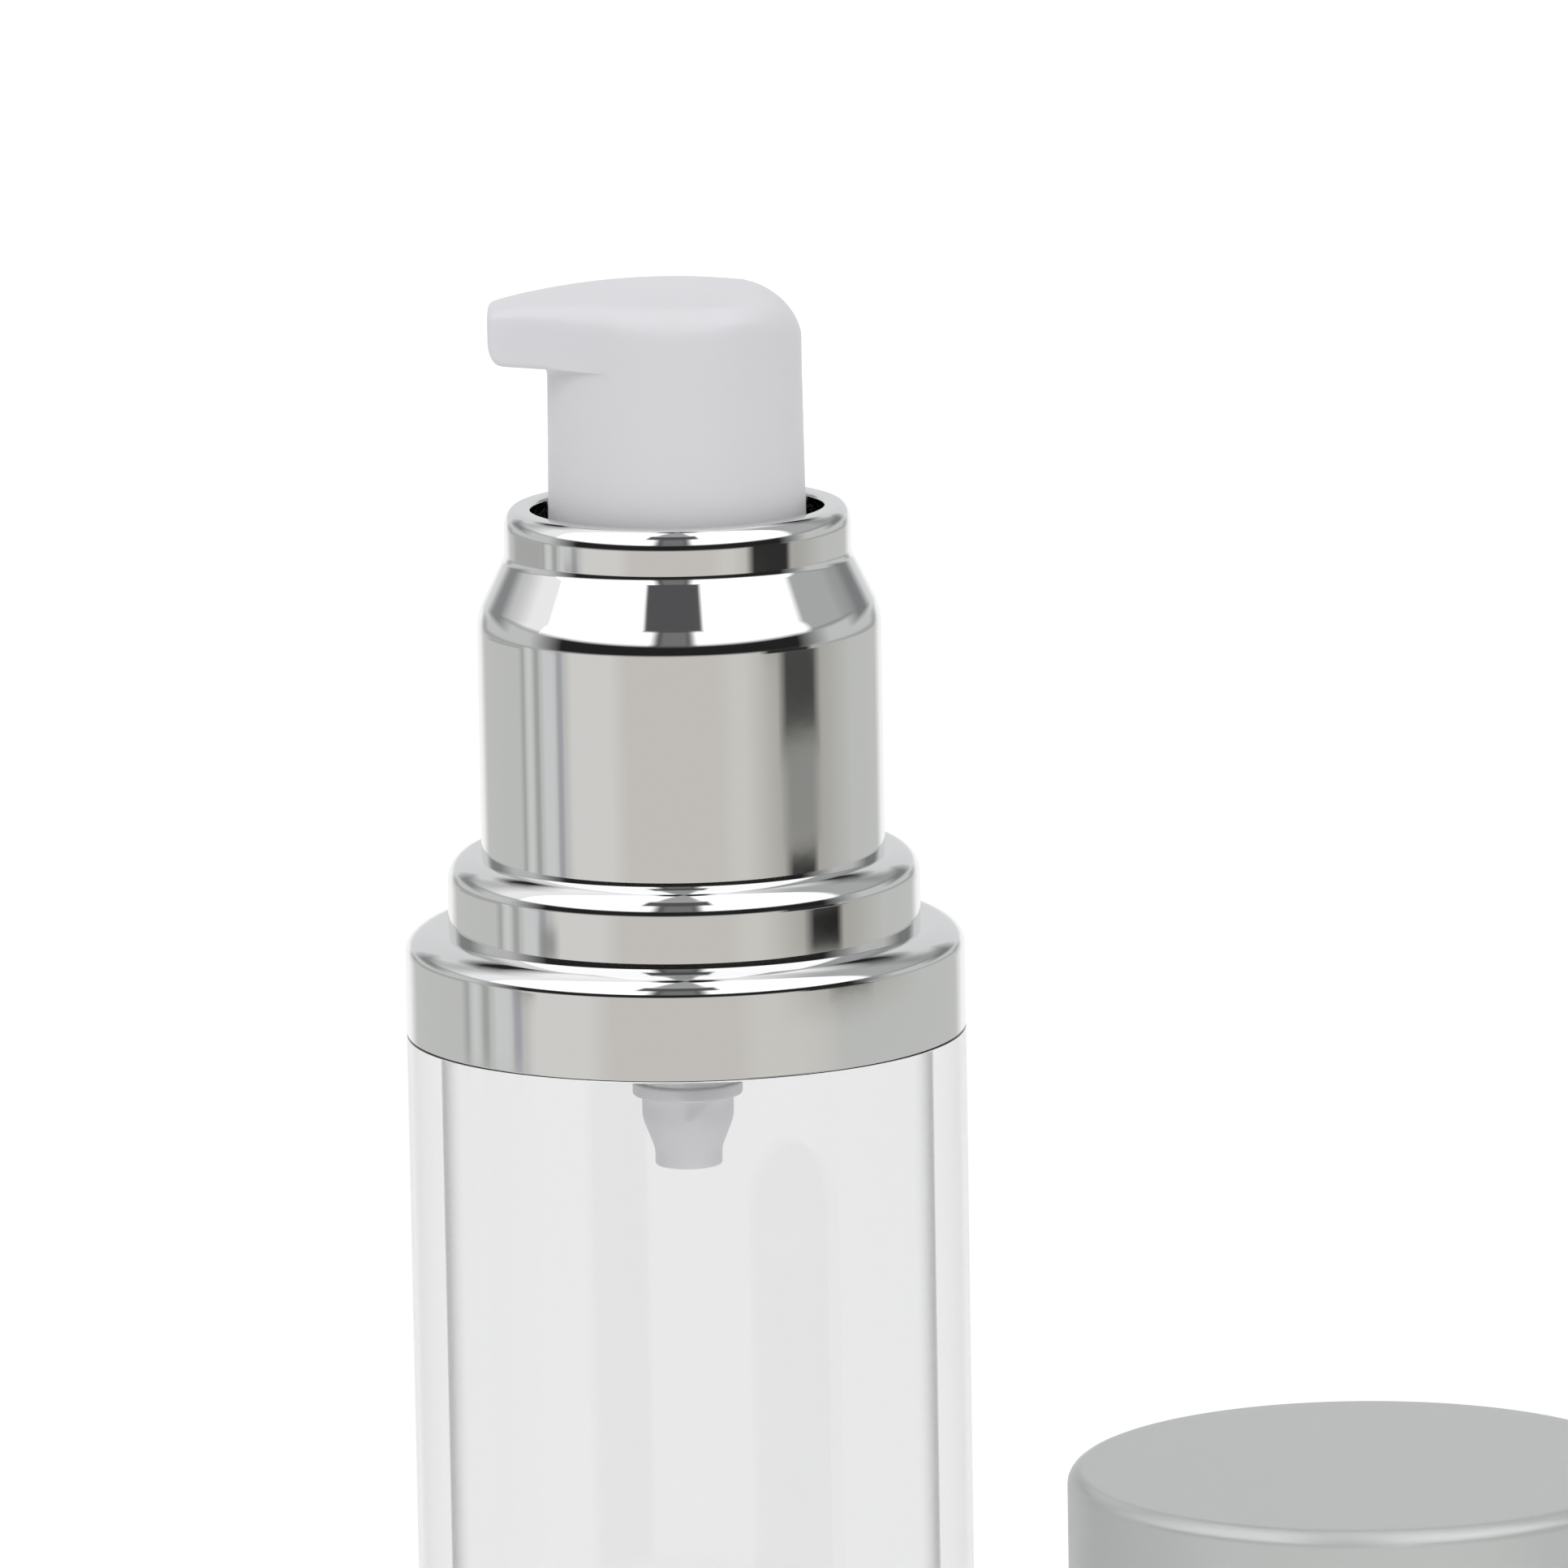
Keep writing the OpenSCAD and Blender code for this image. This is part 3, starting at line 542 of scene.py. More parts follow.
rings += [fillet_ring(a) for a in quarter]
rings += [under_ring(k / UNDER_RINGS) for k in range(1, UNDER_RINGS)]
rings += [edge_ring(a) for a in quarter]
print("rings up to the head's side:", len(rings))

# %% Rings of the head's side and crown
end_round, flank_round = 0.45, 1.2
soft_from, soft_over = 1, 5
SIDE_RINGS, CROWN_RINGS = 6, 22


def rim_room(point, way):
    """Size of the rim's rounding: crisp at the face and the back, soft along the flanks."""
    away = min(max((point.x + spout_reach - soft_from) / soft_over, 0), 1)
    return end_round + (flank_round - end_round) * way.y ** 2 * away


def side_ring(share):
    """A ring of the head's side, between its lower edge and its rim."""
    ring = []
    for point, way, _, _, overhang in columns():
        low = chin_height(point.x) + min(edge_round, overhang / 3)
        high = crown_height(point.x, point.y) - rim_room(point, way)
        ring.append((point.x, point.y, low + (high - low) * share))
    return ring


def rim_ring(angle):
    """A ring of the rounding between the head's side and its crown."""
    ring = []
    for point, way in outline:
        room = rim_room(point, way)
        place = point - way * room * (1 - math.cos(angle))
        drop = room * (1 - math.sin(angle))
        ring.append((place.x, place.y, crown_height(place.x, place.y) - drop))
    return ring


def crown_ring(share):
    """A ring of the crown, drawn in towards its highest point."""
    ring = []
    for point, way in outline:
        place = (point - way * rim_room(point, way)).lerp(Vector((crown_x, 0)), share)
        ring.append((place.x, place.y, crown_height(place.x, place.y)))
    return ring


rings += [side_ring(k / SIDE_RINGS) for k in range(1, SIDE_RINGS)]
rings += [rim_ring(a) for a in quarter]
rings += [crown_ring(k / CROWN_RINGS) for k in range(1, CROWN_RINGS)]
push_button = finished("push_button", laid(rings, (crown_x, 0, crown_top)),
                       "button", ["actuator"])

# %% [markdown]
# ### The channel
#
# The cream comes up the stem and leaves by a small hole in the spout's face. The channel
# could be more rings of the skin, but it crosses them, so here a boolean is simpler: one
# tube is joined on inside the hollow, and two pins are cut out.

# %% Channel through stem socket and spout
channel_r, channel_z, channel_wall = 0.9, 105.25, 1.2
stem_bore, mouth_sink, end_gap, overlap = 1.4, 0.18, 0.5, 1.0


def along_spout(bm):
    """Lays a tool that was made upright along the spout, at the channel's height."""
    bmesh.ops.rotate(bm, verts=bm.verts, cent=(0, 0, 0),
                     matrix=Matrix.Rotation(-math.pi / 2, 3, "Y"))
    bmesh.ops.translate(bm, verts=bm.verts, vec=(0, 0, channel_z * MM))
    return bm


def plain_pin(pin_r, low, high, sides=48):
    """A plain round pin along Z between two levels."""
    bm = bmesh.new()
    bmesh.ops.create_cone(bm, cap_ends=True, segments=sides, radius1=pin_r * MM,
                          radius2=pin_r * MM, depth=(high - low) * MM)
    bmesh.ops.translate(bm, verts=bm.verts, vec=(0, 0, (low + high) / 2 * MM))
    return bm


channel_tube = plain_pin(channel_r + channel_wall, boss_r / 2, head_r - end_gap)
cut(push_button, along_spout(channel_tube), "UNION")
mouth = countersunk_pin(channel_r, mouth_sink, -stem_bore, spout_reach)
cut(push_button, along_spout(mouth))
cut(push_button, plain_pin(channel_r, socket_top - overlap, channel_z))

# %% [markdown]
# ## The overcap
#
# The overcap stands beside the bottle on its open end: a matt silver shell, and a white
# liner inside it that grips the collar's flange. Both are turned like the rest, and then
# moved to their place. The narrow rounding between top and side shows as one pale line.
# The shell's radius stays a hair inside the frame's box.

# %% Shell of the overcap
cap_low, cap_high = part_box("cap_shell")
cap_place = ((cap_low.x + cap_high.x) / 2 / MM, (cap_low.y + cap_high.y) / 2 / MM)
hair = 0.005
cap_r = radius("cap_shell") - hair
shell_wall, shell_top_t = 0.8, 0.9
silver_shell = turned("silver_shell", [
    (cap_r - shell_wall, 0, 0.15), (cap_r, 0, 0.2), (cap_r, cap_top, 1.0),
    (0, cap_top, 0), (0, cap_top - shell_top_t, 0),
    (cap_r - shell_wall, cap_top - shell_top_t, 0.3)],
    "overcap", ["cap_shell"], cap_place)

# %% Liner of the overcap
liner_r = radius("cap_liner")
liner_foot, liner_top = level("cap_liner", 0), level("cap_liner", 1)
liner_wall, grip_r, grip_h, grip_bevel, grip_fade = 1.0, 14.83, 4.2, 0.4, 0.8
grip_foot = liner_foot + grip_bevel
cap_lining = turned("cap_lining", [
    (grip_r + grip_bevel, liner_foot, 0.1), (liner_r, liner_foot, 0.15),
    (liner_r, liner_top, 0.3), (0, liner_top, 0), (0, liner_top - liner_wall, 0),
    (liner_r - liner_wall, liner_top - liner_wall, 0.5),
    (liner_r - liner_wall, grip_foot + grip_h + grip_fade, 0.2),
    (grip_r, grip_foot + grip_h, 0.2), (grip_r, grip_foot, 0.15)],
    "overcap", ["cap_liner"], cap_place)

# %% [markdown]
# ## Materials
#
# The real pieces are plain mouldings: white and milky plastic, a waxy follower, rubber,
# steel and a metal coat. Painted images could show them, but their colour is even, so
# each finish is one small node tree. It reads Object coordinates, and its pattern stays
# on the piece when the piece moves. Noise drives only what varies on the real thing,
# roughness and a slight bump, and the rest is set on the shader's own sockets.

# %% Material helper
NOISE_DETAIL = 3


def finish(name, colour, roughness, spread, grain, bump, **sockets):
    """A Principled material. Noise of that grain varies its roughness by spread and bumps it.

    Grain and bump are in millimetres. Other sockets go by name, with _ for a space.
    """
    mat = bpy.data.materials.new(name)
    mat.use_nodes = True
    tree = mat.node_tree
    shader = tree.nodes["Principled BSDF"]
    shader.inputs["Base Color"].default_value = (*colour, 1)
    for socket, value in sockets.items():
        shader.inputs[socket.replace("_", " ")].default_value = value
    place = tree.nodes.new("ShaderNodeTexCoord")
    noise = tree.nodes.new("ShaderNodeTexNoise")
    noise.inputs["Scale"].default_value = 1 / (grain * MM)
    noise.inputs["Detail"].default_value = NOISE_DETAIL
    tree.links.new(place.outputs["Object"], noise.inputs["Vector"])
    rough = tree.nodes.new("ShaderNodeMapRange")
    rough.inputs["To Min"].default_value = max(roughness - spread, 0)
    rough.inputs["To Max"].default_value = roughness + spread
    tree.links.new(noise.outputs["Fac"], rough.inputs["Value"])
    tree.links.new(rough.outputs["Result"], shader.inputs["Roughness"])
    relief = tree.nodes.new("ShaderNodeBump")
    relief.inputs["Strength"].default_value = 1
    relief.inputs["Distance"].default_value = bump * MM
    tree.links.new(noise.outputs["Fac"], relief.inputs["Height"])
    tree.links.new(relief.outputs["Normal"], shader.inputs["Normal"])
    print(f"finish {name}: roughness {roughness} +- {spread}, grain {grain} mm")
    return mat


# %% Helpers that join nodes
def maths(tree, operation, first, second):
    """A Math node. Each input is a socket or a number."""
    node = tree.nodes.new("ShaderNodeMath")
    node.operation = operation
    for slot, value in zip(node.inputs, (first, second)):
        if isinstance(value, (int, float)):
            slot.default_value = value
        else:
            tree.links.new(value, slot)
    return node.outputs["Value"]


def ramp(tree, value, low, high, at_low, at_high):
    """A smooth step of a value from one level to another."""
    node = tree.nodes.new("ShaderNodeMapRange")
    node.interpolation_type = "SMOOTHSTEP"
    tree.links.new(value, node.inputs["Value"])
    levels = zip(("From Min", "From Max", "To Min", "To Max"), (low, high, at_low, at_high))
    for slot, level_value in levels:
        node.inputs[slot].default_value = level_value
    return node.outputs["Result"]


# %% Finishes of the plastic, rubber and steel pieces
white_finish = finish("white_plastic", (0.80, 0.80, 0.81), 0.38, 0.06, 0.6, 0.002)
milky_finish = finish("milky_plastic", (0.782, 0.782, 0.81), 0.42, 0.05, 0.25, 0.0015,
                      Subsurface_Weight=0.6, Subsurface_Scale=1.5 * MM,
                      Subsurface_Radius=(1, 1, 1))
pale_finish = finish("pale_plastic", (0.815, 0.815, 0.845), 0.36, 0.05, 0.25, 0.0015)
soft_finish = finish("soft_plastic", (0.76, 0.77, 0.79), 0.5, 0.06, 0.4, 0.002,
                     Subsurface_Weight=0.4, Subsurface_Scale=1 * MM)
rubber_finish = finish("seal_rubber", (0.55, 0.55, 0.54), 0.7, 0.08, 0.3, 0.004)
steel_finish = finish("steel", (0.62, 0.63, 0.65), 0.20, 0.05, 0.3, 0.001, Metallic=1)
bright_finish = finish("metallised_plastic", (0.80, 0.80, 0.795), 0.045, 0.02, 4, 0.0015,
                       Metallic=1)

# %% [markdown]
# ### Clear plastic
#
# The tube is polished, water-clear plastic: a glass-like shader on the real wall. Plain
# glass would keep the lamps from what is inside, so their rays pass a Transparent
# shader instead. A real wall looks grey where one looks along its bore. Darker paper
# around the set could draw that line, but only from one side. So the line is painted
# shade: the bore's tint gets darker at glancing angles, and the line is there from everywhere.

# %% Finish of the clear tube
CLEAR_TINT = (0.90, 0.90, 0.905)
LAMP_PASS = (0.98, 0.98, 0.98, 1)
clear_finish = finish("clear_plastic", CLEAR_TINT, 0.004, 0.004, 6, 0.0006,
                      Transmission_Weight=1, IOR=1.57)
tree = clear_finish.node_tree
output = tree.nodes["Material Output"]
lets_lamps = tree.nodes.new("ShaderNodeBsdfTransparent")
lets_lamps.inputs["Color"].default_value = LAMP_PASS
path = tree.nodes.new("ShaderNodeLightPath")
either = tree.nodes.new("ShaderNodeMixShader")
tree.links.new(path.outputs["Is Shadow Ray"], either.inputs["Fac"])
tree.links.new(tree.nodes["Principled BSDF"].outputs["BSDF"], either.inputs[1])
tree.links.new(lets_lamps.outputs["BSDF"], either.inputs[2])
tree.links.new(either.outputs["Shader"], output.inputs["Surface"])

# %% Painted shade: grey lines where one looks along the bore's wall
# Where the painted shade starts and ends in facing, and how far it darkens the tint.
LINE_FROM, LINE_TO, LINE_SHADE_DEPTH = 0.60, 0.88, 0.98
where = tree.nodes["Texture Coordinate"]
flat = tree.nodes.new("ShaderNodeVectorMath")
flat.operation = "MULTIPLY"
flat.inputs[1].default_value = (1, 1, 0)
tree.links.new(where.outputs["Object"], flat.inputs[0])
from_axis = tree.nodes.new("ShaderNodeVectorMath")
from_axis.operation = "LENGTH"
tree.links.new(flat.outputs["Vector"], from_axis.inputs[0])
mid_wall = (tube_bore + tube_wall / 2) * MM
on_bore = maths(tree, "LESS_THAN", from_axis.outputs["Value"], mid_wall)
glancing = tree.nodes.new("ShaderNodeLayerWeight")
# Painted shade: the tint darkens on the bore where it is seen at a glancing angle.
painted_line_shade = ramp(tree, glancing.outputs["Facing"], LINE_FROM, LINE_TO, 0.0, LINE_SHADE_DEPTH)
unshaded_share = maths(tree, "SUBTRACT", 1.0, maths(tree, "MULTIPLY", painted_line_shade, on_bore))
# The tube's own tint, times the painted shade of the bore's grey lines.
tint_and_shade = tree.nodes.new("ShaderNodeVectorMath")
tint_and_shade.operation = "SCALE"
tint_and_shade.inputs[0].default_value = CLEAR_TINT
tree.links.new(unshaded_share, tint_and_shade.inputs["Scale"])
tree.links.new(tint_and_shade.outputs["Vector"], tree.nodes["Principled BSDF"].inputs["Base Color"])
print(f"the bore's tint reaches out to radius {mid_wall / MM:.2f} mm")

# %% [markdown]
# ### Matt silver lacquer
#
# The lacquer holds metal flakes too fine to see. A fully metallic shader would be a dull
# mirror of the studio, so it is partly metallic and rather rough: it gathers the studio
# into one soft sheen and keeps its own grey. Its roughness stays above 0.27 all over,
# because the denoiser takes smoother spots for mirrors and draws specks around them.

# %% Finish of the overcap's shell
silver_finish = finish("matt_silver", (0.49, 0.505, 0.50), 0.30, 0.02, 1.2, 0.0006,
                       Metallic=0.30)

# %% Put the finishes on the pieces
for piece, mat in [(clear_tube, clear_finish), (base_cup, white_finish),
                   (follower, soft_finish), (pump_cylinder, white_finish),
                   (inlet_tip, pale_finish), (bright_ring, bright_finish),
                   (bright_collar, bright_finish), (push_button, milky_finish),
                   (silver_shell, silver_finish), (cap_lining, white_finish),
                   (spring_coil, steel_finish)]:
    piece.data.materials.clear()
    piece.data.materials.append(mat)
inner_nodes = {"snap_closure": white_finish, "neck_gasket": rubber_finish,
               "lock_ring": white_finish, "inlet_ball": steel_finish, "stem": white_finish,
               "piston_rod": white_finish, "piston_seal": soft_finish}
for node, mat in inner_nodes.items():
    for material_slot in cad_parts[node].material_slots:
        material_slot.material = mat
print("carried-over nodes with a finish:", len(inner_nodes))

# %% [markdown]
# ## The studio
#
# The camera sees a white floor and a white world. A bright coat shows what stands
# around it. A picture of a studio could be the world, but here soft-edged paper cards
# stand on a dome around the set, so each reflection can be placed on its own. Only
# reflections see them: a warm grey front, a black flag on the right, two softboxes with
# a dark gap between them, and light strips on the left.

# %% Stage helpers
def seen_by(thing, camera=False, diffuse=False, glossy=False, transmission=False, shadow=False):
    """Says which rays see a stage piece."""
    thing.visible_camera = camera
    thing.visible_diffuse = diffuse
    thing.visible_glossy = glossy
    thing.visible_transmission = transmission
    thing.visible_shadow = shadow


def stage_piece(name, bm, mat):
    """A piece of the stage from a bmesh."""
    mesh = bpy.data.meshes.new(name)
    bm.to_mesh(mesh)
    bm.free()
    mesh.materials.append(mat)
    thing = bpy.data.objects.new(name, mesh)
    bpy.context.scene.collection.objects.link(thing)
    return thing


def bare_tree(name):
    """A material without its Principled shader, and its tree. It isn't sampled as a lamp."""
    mat = bpy.data.materials.new(name)
    mat.use_nodes = True
    mat.node_tree.nodes.remove(mat.node_tree.nodes["Principled BSDF"])
    mat.cycles.emission_sampling = "NONE"
    return mat, mat.node_tree


# %% [markdown]
# ### Floor
#
# The floor is a sheet of white paper. Strong lamps could burn it out, but they would
# burn out the pieces too. So it glows for the camera and through the tube, and near
# the object a part of it stays plain lit paper, which keeps the shadows. Light that
# passes only the tube's wall finds it a little darker, as a thick edge looks.

# %% Floor
FLOOR_HALF = 4.0
NEAR, FAR, NEAR_SHARE = 0.25, 0.60, 0.70
FLOOR_GLOW, WALL_SHADE, WALL_PASSES = 1.14, 0.08, 2.5
FLOOR_PAPER = (0.86, 0.86, 0.86, 1)
floor_paint, tree = bare_tree("floor_paper")
paper = tree.nodes.new("ShaderNodeBsdfDiffuse")
paper.inputs["Color"].default_value = FLOOR_PAPER
glow = tree.nodes.new("ShaderNodeEmission")
where = tree.nodes.new("ShaderNodeTexCoord")
away = tree.nodes.new("ShaderNodeVectorMath")
away.operation = "LENGTH"
tree.links.new(where.outputs["Object"], away.inputs[0])
path = tree.nodes.new("ShaderNodeLightPath")
through = path.outputs["Is Transmission Ray"]
seen = maths(tree, "MAXIMUM", path.outputs["Is Camera Ray"], through)
glow_share = ramp(tree, away.outputs["Value"], NEAR, FAR, NEAR_SHARE, 1.0)
share = maths(tree, "MULTIPLY", seen, glow_share)
in_wall = maths(tree, "LESS_THAN", path.outputs["Transmission Depth"], WALL_PASSES)
grey = maths(tree, "MULTIPLY", in_wall, WALL_SHADE)
strength = maths(tree, "SUBTRACT", FLOOR_GLOW, maths(tree, "MULTIPLY", through, grey))
tree.links.new(strength, glow.inputs["Strength"])
floor_mix = tree.nodes.new("ShaderNodeMixShader")
tree.links.new(share, floor_mix.inputs["Fac"])
tree.links.new(paper.outputs["BSDF"], floor_mix.inputs[1])
tree.links.new(glow.outputs["Emission"], floor_mix.inputs[2])
tree.links.new(floor_mix.outputs["Shader"], tree.nodes["Material Output"].inputs["Surface"])
bm = bmesh.new()
bmesh.ops.create_grid(bm, x_segments=1, y_segments=1, size=FLOOR_HALF)
floor = stage_piece("floor", bm, floor_paint)
seen_by(floor, camera=True, diffuse=True, transmission=True, shadow=True)
print(f"floor: {2 * FLOOR_HALF:.0f} m across")

# %% [markdown]
# ### Cards
#
# A card is a sheet of paper with soft edges. It could be a flat plane with a gradient,
# but a patch of the dome bends around the bottle and its edges stay even. Its place is told as
# in a studio: degrees to the right of the camera, and degrees above or below the
# bottle's collar. An upright bright wall mirrors what lies about ten degrees below it,
# because the camera looks down that much.

# %% Card helper
DOME, DOME_Z, DOME_GAP = 0.50, 0.08, 0.002
CELL, LEAST_CELLS = 1.5, 16
cards = []


def card(name, across, upright, colour, soft):
    """A card on the dome, from and to degrees across and upright.

    Soft has the degrees over which its left, right, lower and upper edge fade.
    """
    mat, tree = bare_tree(name)
    lit = tree.nodes.new("ShaderNodeEmission")
    lit.inputs["Color"].default_value = (*colour, 1)
    clear = tree.nodes.new("ShaderNodeBsdfTransparent")
    cover = tree.nodes.new("ShaderNodeAttribute")
    cover.attribute_name = "cover"
    mix = tree.nodes.new("ShaderNodeMixShader")
    tree.links.new(cover.outputs["Fac"], mix.inputs["Fac"])
    tree.links.new(clear.outputs["BSDF"], mix.inputs[1])
    tree.links.new(lit.outputs["Emission"], mix.inputs[2])
    tree.links.new(mix.outputs["Shader"], tree.nodes["Material Output"].inputs["Surface"])
    distance = DOME - DOME_GAP * len(cards)
    cells_across = max(LEAST_CELLS, int((across[1] - across[0]) / CELL))
    bm = bmesh.new()
    layer = bm.verts.layers.float.new("cover")
    bmesh.ops.create_grid(bm, x_segments=cells_across, y_segments=LEAST_CELLS, size=1)
    for vert in bm.verts:
        turn = across[0] + (across[1] - across[0]) * (vert.co.x + 1) / 2
        tilt = upright[0] + (upright[1] - upright[0]) * (vert.co.y + 1) / 2
        room = min((turn - across[0]) / soft[0], (across[1] - turn) / soft[1],
                   (tilt - upright[0]) / soft[2], (upright[1] - tilt) / soft[3], 1)
        vert[layer] = max(room, 0)
        a, e = math.radians(turn - 90), math.radians(tilt)
        way = Vector((math.cos(a) * math.cos(e), math.sin(a) * math.cos(e), math.sin(e)))
        vert.co = Vector((0, 0, DOME_Z)) + distance * way
    thing = stage_piece(name, bm, mat)
    seen_by(thing, glossy=True)
    cards.append(thing)


# %% Paper tones
warm_grey = (0.655, 0.632, 0.607)
pale_warm = (0.70, 0.685, 0.65)
shade_warm = (0.47, 0.46, 0.43)
pale_grey = (0.75, 0.735, 0.72)
cool_grey = (0.60, 0.61, 0.595)
strip_light = (0.69, 0.70, 0.71)
line_grey = (0.42, 0.43, 0.42)
lilac_grey = (0.43, 0.42, 0.46)
flag_black = (0.03, 0.03, 0.03)
half_black = (0.31, 0.31, 0.30)
dark_grey = (0.10, 0.10, 0.105)
mid_grey = (0.40, 0.405, 0.41)
neck_grey = (0.45, 0.455, 0.45)
top_black = (0.065, 0.065, 0.063)
foot_black = (0.005, 0.005, 0.005)
paper_white = (1.0, 1.0, 1.0)
box_light = (1.5, 1.5, 1.52)
box_end, box_end_dim = (1.0, 1.0, 1.02), (0.46, 0.465, 0.47)
ceiling_light = (1.1, 1.1, 1.12)
wall_light = (0.74, 0.75, 0.76)
low_light = (0.62, 0.625, 0.63)
side_grey, side_grey_2 = (0.24, 0.245, 0.25), (0.28, 0.285, 0.29)
gap_grey = (0.20, 0.20, 0.205)

# %% Cards at the height that upright walls mirror
card("ground_paper", (-180, 180), (-89, 0), cool_grey, (0.1, 0.1, 0.1, 4))
card("back_paper", (145, 215), (-60, 30), paper_white, (12, 12, 1, 6))
card("front_warm", (-44, 66), (-60, -2), warm_grey, (12, 12, 1, 3))
card("front_right", (20, 66), (-60, -3), pale_warm, (10, 20, 1, 3))
card("flag_shade", (36, 112), (-12.6, -3), shade_warm, (24, 26, 0.6, 3))
card("front_left", (-68, -30), (-60, -2), pale_grey, (4, 10, 1, 3))
card("left_light", (-85, -74), (-13.8, -3), strip_light, (2, 3, 0.4, 3))
card("left_line", (-92, -86), (-13.8, -3), line_grey, (2, 2, 0.4, 3))
card("left_strip", (-98, -92), (-13.8, -3), strip_light, (2, 2, 0.4, 3))
card("left_line_2", (-104, -98), (-13.8, -3), line_grey, (4, 2, 0.4, 3))
card("left_lilac", (-75, -69), (-13.8, -3), lilac_grey, (2, 2, 0.4, 3))
card("left_mark", (-76, -62), (-12.2, -11.4), half_black, (5, 5, 0.2, 0.2))
card("left_mark_2", (-82, -68), (-8.1, -7.3), half_black, (5, 5, 0.3, 0.3))
card("neck_left", (-142, -98), (-8.3, -4), neck_grey, (8, 6, 0.4, 2))
card("flag_neck", (45, 80), (-8.5, 0), flag_black, (6, 4, 0.4, 1))
card("flag_top", (56, 86), (-9.9, -8.1), top_black, (6, 6, 0.5, 0.3))
card("flag_fade", (57, 86), (-11.0, -9.5), half_black, (7, 7, 0.3, 0.4))
card("flag_foot", (59, 83), (-12.2, -10.9), foot_black, (6, 4, 0.2, 0.2))
print("cards at the height of the walls:", len(cards))

# %% Cards above: softboxes, the gap between them, and the back
card("back_wall", (120, 240), (-2, 40), wall_light, (20, 20, 5, 8))
card("low_right", (70, 152), (-4, 17), low_light, (24, 14, 3, 5))
card("low_left", (-152, -70), (-4, 17), low_light, (14, 24, 3, 5))
card("side_right", (112, 150), (4, 26), side_grey, (16, 10, 4, 8))
card("side_left", (-150, -112), (4, 26), side_grey_2, (10, 16, 4, 8))
card("overhead", (-180, 180), (46, 84), ceiling_light, (1, 1, 12, 3))
card("soft_right_end", (70, 150), (13, 84), box_end_dim, (4, 40, 4, 25))
card("soft_right", (5, 84), (13, 84), box_light, (6, 6, 4, 5))
card("soft_left_end", (-144, -86), (13, 84), box_end, (42, 2, 4, 5))
card("soft_left", (-89, -12), (13, 84), box_light, (1, 6, 4, 5))
card("gap_low", (-15, 9), (12, 42), gap_grey, (6, 6, 4, 6))
card("gap_dark", (-25, 17), (35, 58), dark_grey, (3, 3, 5, 5))
card("gap_high", (-22, 14), (50, 90), mid_grey, (6, 6, 8, 1))
card("gap_back", (164, 196), (50, 90), mid_grey, (8, 8, 8, 1))
print("cards on the dome:", len(cards))

# %% [markdown]
# ### World and lamps
#
# The world is white paper for the camera and through the tube, a dark room for the
# bright coat, and a soft fill for all else. It could light the set alone, but then
# nothing would have a light side. So three area lamps shape the pieces, and a small
# narrow one reaches the overcap's front. Mirrors see the cards instead of the lamps.

# %% World
world = bpy.data.worlds.new("studio")
bpy.context.scene.world = world
world.use_nodes = True
tree = world.node_tree
path = tree.nodes.new("ShaderNodeLightPath")
AMBIENT, DARK_ROOM = 0.52, 0.02
for_mirrors = maths(tree, "MULTIPLY", path.outputs["Is Glossy Ray"], DARK_ROOM - AMBIENT)
plain = maths(tree, "ADD", AMBIENT, for_mirrors)
seen = maths(tree, "MAXIMUM", path.outputs["Is Camera Ray"],
             path.outputs["Is Transmission Ray"])
tree.links.new(maths(tree, "MAXIMUM", plain, seen), tree.nodes["Background"].inputs["Strength"])
tree.nodes["Background"].inputs["Color"].default_value = (1, 1, 1, 1)
print(f"world: fill {AMBIENT}, {DARK_ROOM} in mirrors")

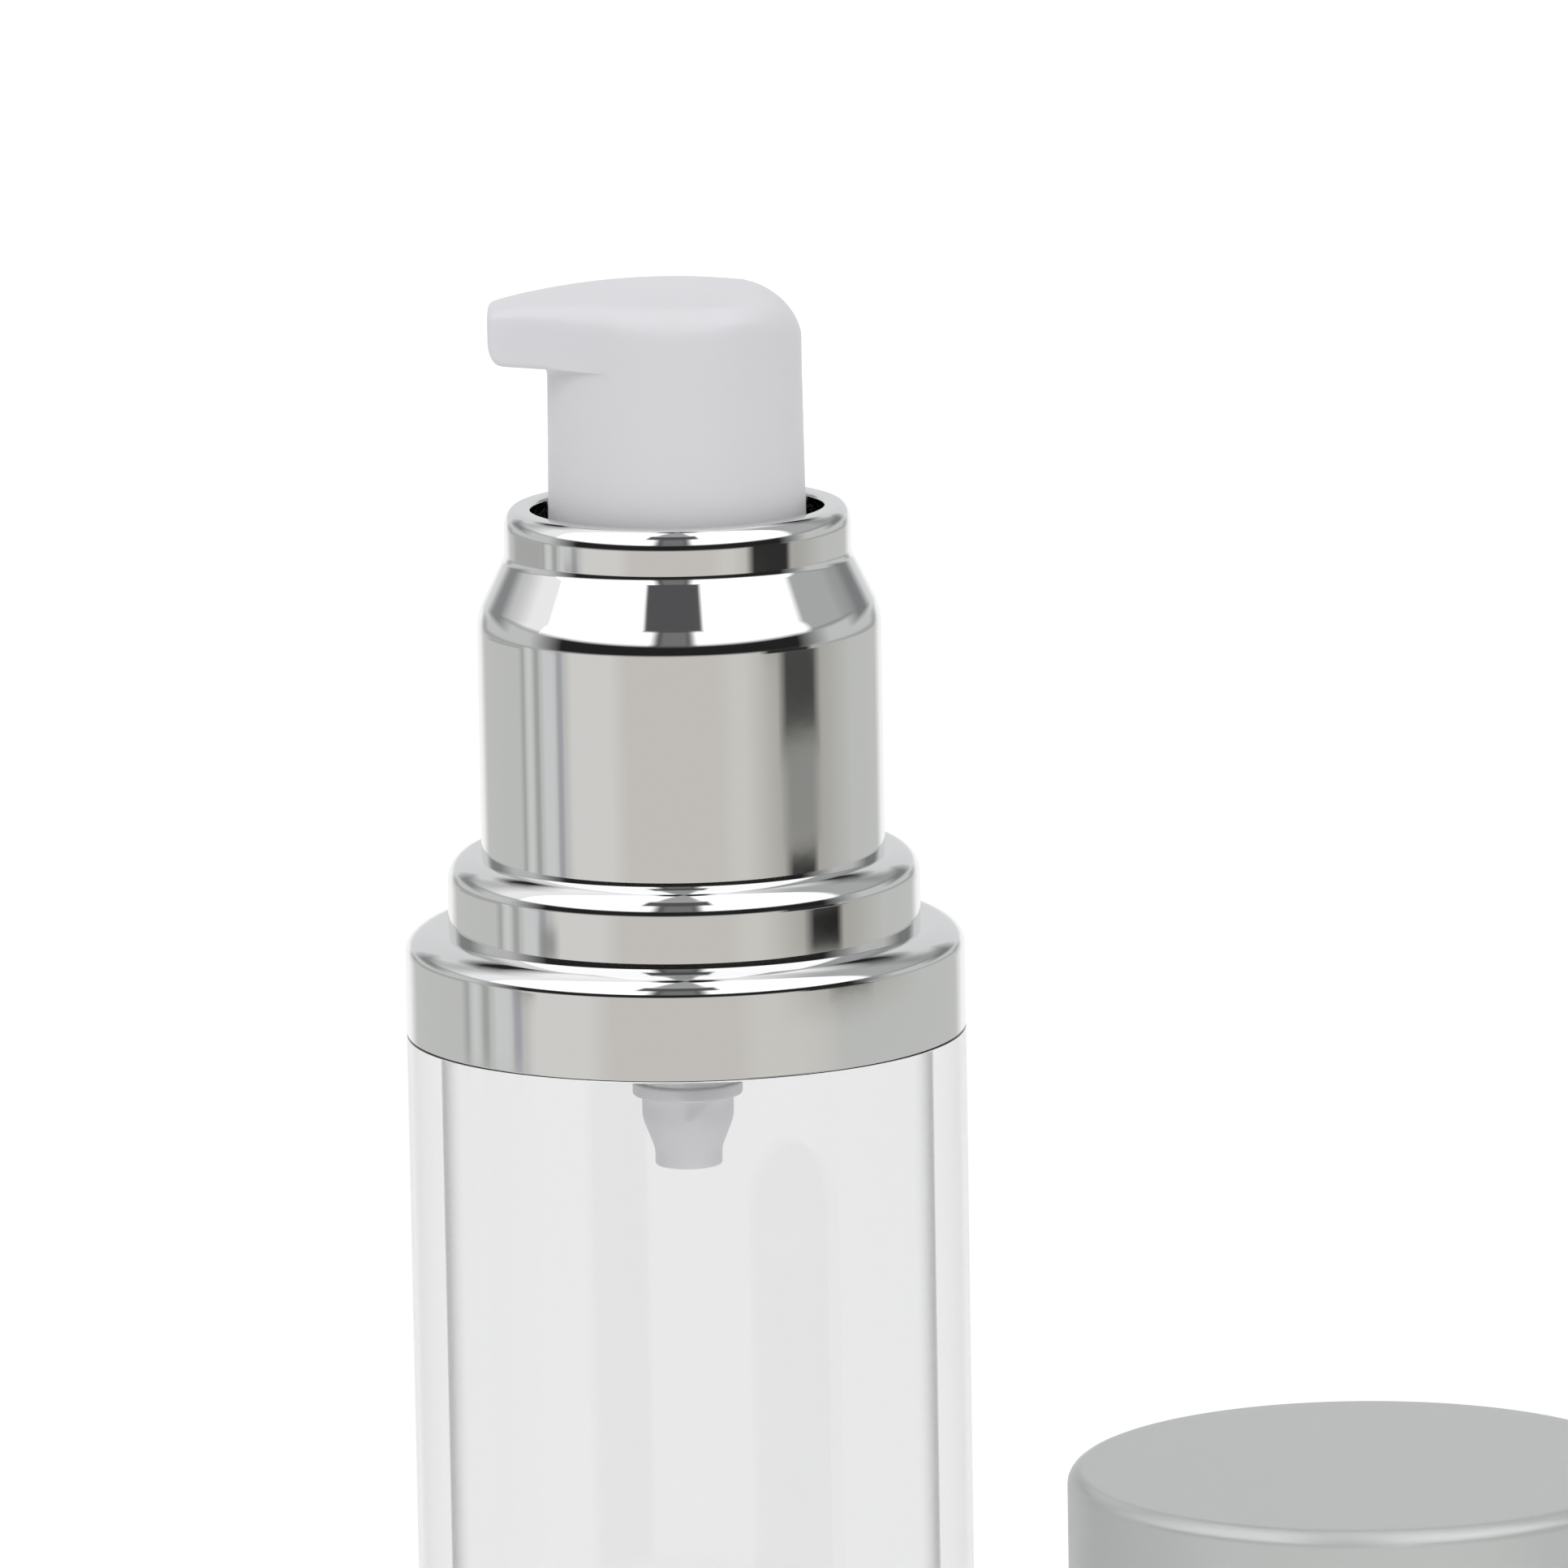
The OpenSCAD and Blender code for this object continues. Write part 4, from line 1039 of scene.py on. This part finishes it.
# %% Softboxes that light the set
def softbox(name, place, aim, size, power, spread=180):
    """An area lamp that looks at a point. Neither the camera nor a mirror sees it."""
    lamp = bpy.data.lights.new(name, "AREA")
    lamp.shape = "RECTANGLE"
    lamp.size, lamp.size_y = size
    lamp.energy = power
    lamp.spread = math.radians(spread)
    thing = bpy.data.objects.new(name, lamp)
    bpy.context.scene.collection.objects.link(thing)
    thing.location = place
    thing.rotation_mode = "QUATERNION"
    thing.rotation_quaternion = (Vector(aim) - Vector(place)).to_track_quat("-Z", "Y")
    thing.visible_camera = False
    thing.visible_glossy = False
    print(f"{name}: {power} W")


AIM, CAP_AIM = (0.0, 0.0, 0.07), (0.035, -0.045, 0.03)
BOX, BACK_BOX, SMALL_BOX = (0.62, 0.42), (0.7, 0.5), (0.06, 0.04)
BOX_POWER, LOW_POWER = 1.6, 0.0076
softbox("lamp_left", (-0.42, -0.42, 0.62), AIM, BOX, BOX_POWER)
softbox("lamp_right", (0.44, -0.40, 0.62), AIM, BOX, BOX_POWER)
softbox("lamp_back", (0.0, 0.75, 0.75), AIM, BACK_BOX, BOX_POWER)
softbox("lamp_low", (0.11, -0.52, 0.10), CAP_AIM, SMALL_BOX, LOW_POWER, spread=17)

# %% [markdown]
# ## The camera
#
# The picture is a crop of a long-lens shot, so the camera stands well back, looks down
# by about ten degrees and is rolled by one. It could be aimed with a Track To
# constraint, but that can't roll it, so its matrix is built from its own three axes.

# %% Camera at the picture's angle
LENS, SENSOR = 298.1, 36.0
EYE = Vector((0.0, -0.7966, 0.2196))
YAW, PITCH, ROLL = 0.00797, 0.178, -0.017
forward = Vector((math.sin(YAW) * math.cos(PITCH), math.cos(YAW) * math.cos(PITCH),
                  -math.sin(PITCH)))
right = Vector((math.cos(YAW), -math.sin(YAW), 0))
up = right.cross(forward)
rolled_right = math.cos(ROLL) * right + math.sin(ROLL) * up
rolled_up = -math.sin(ROLL) * right + math.cos(ROLL) * up
camera_data = bpy.data.cameras.new("camera")
camera_data.lens, camera_data.sensor_width = LENS, SENSOR
CLIP_NEAR, CLIP_FAR = 0.01, 20
camera_data.clip_start, camera_data.clip_end = CLIP_NEAR, CLIP_FAR
camera = bpy.data.objects.new("camera", camera_data)
bpy.context.scene.collection.objects.link(camera)
turn = Matrix((rolled_right, rolled_up, -forward)).transposed().to_4x4()
camera.matrix_world = Matrix.Translation(EYE) @ turn
bpy.context.scene.camera = camera
bpy.context.scene.view_settings.view_transform = "Standard"
print("camera stands", round(EYE.length, 3), "m from the bottle's foot")
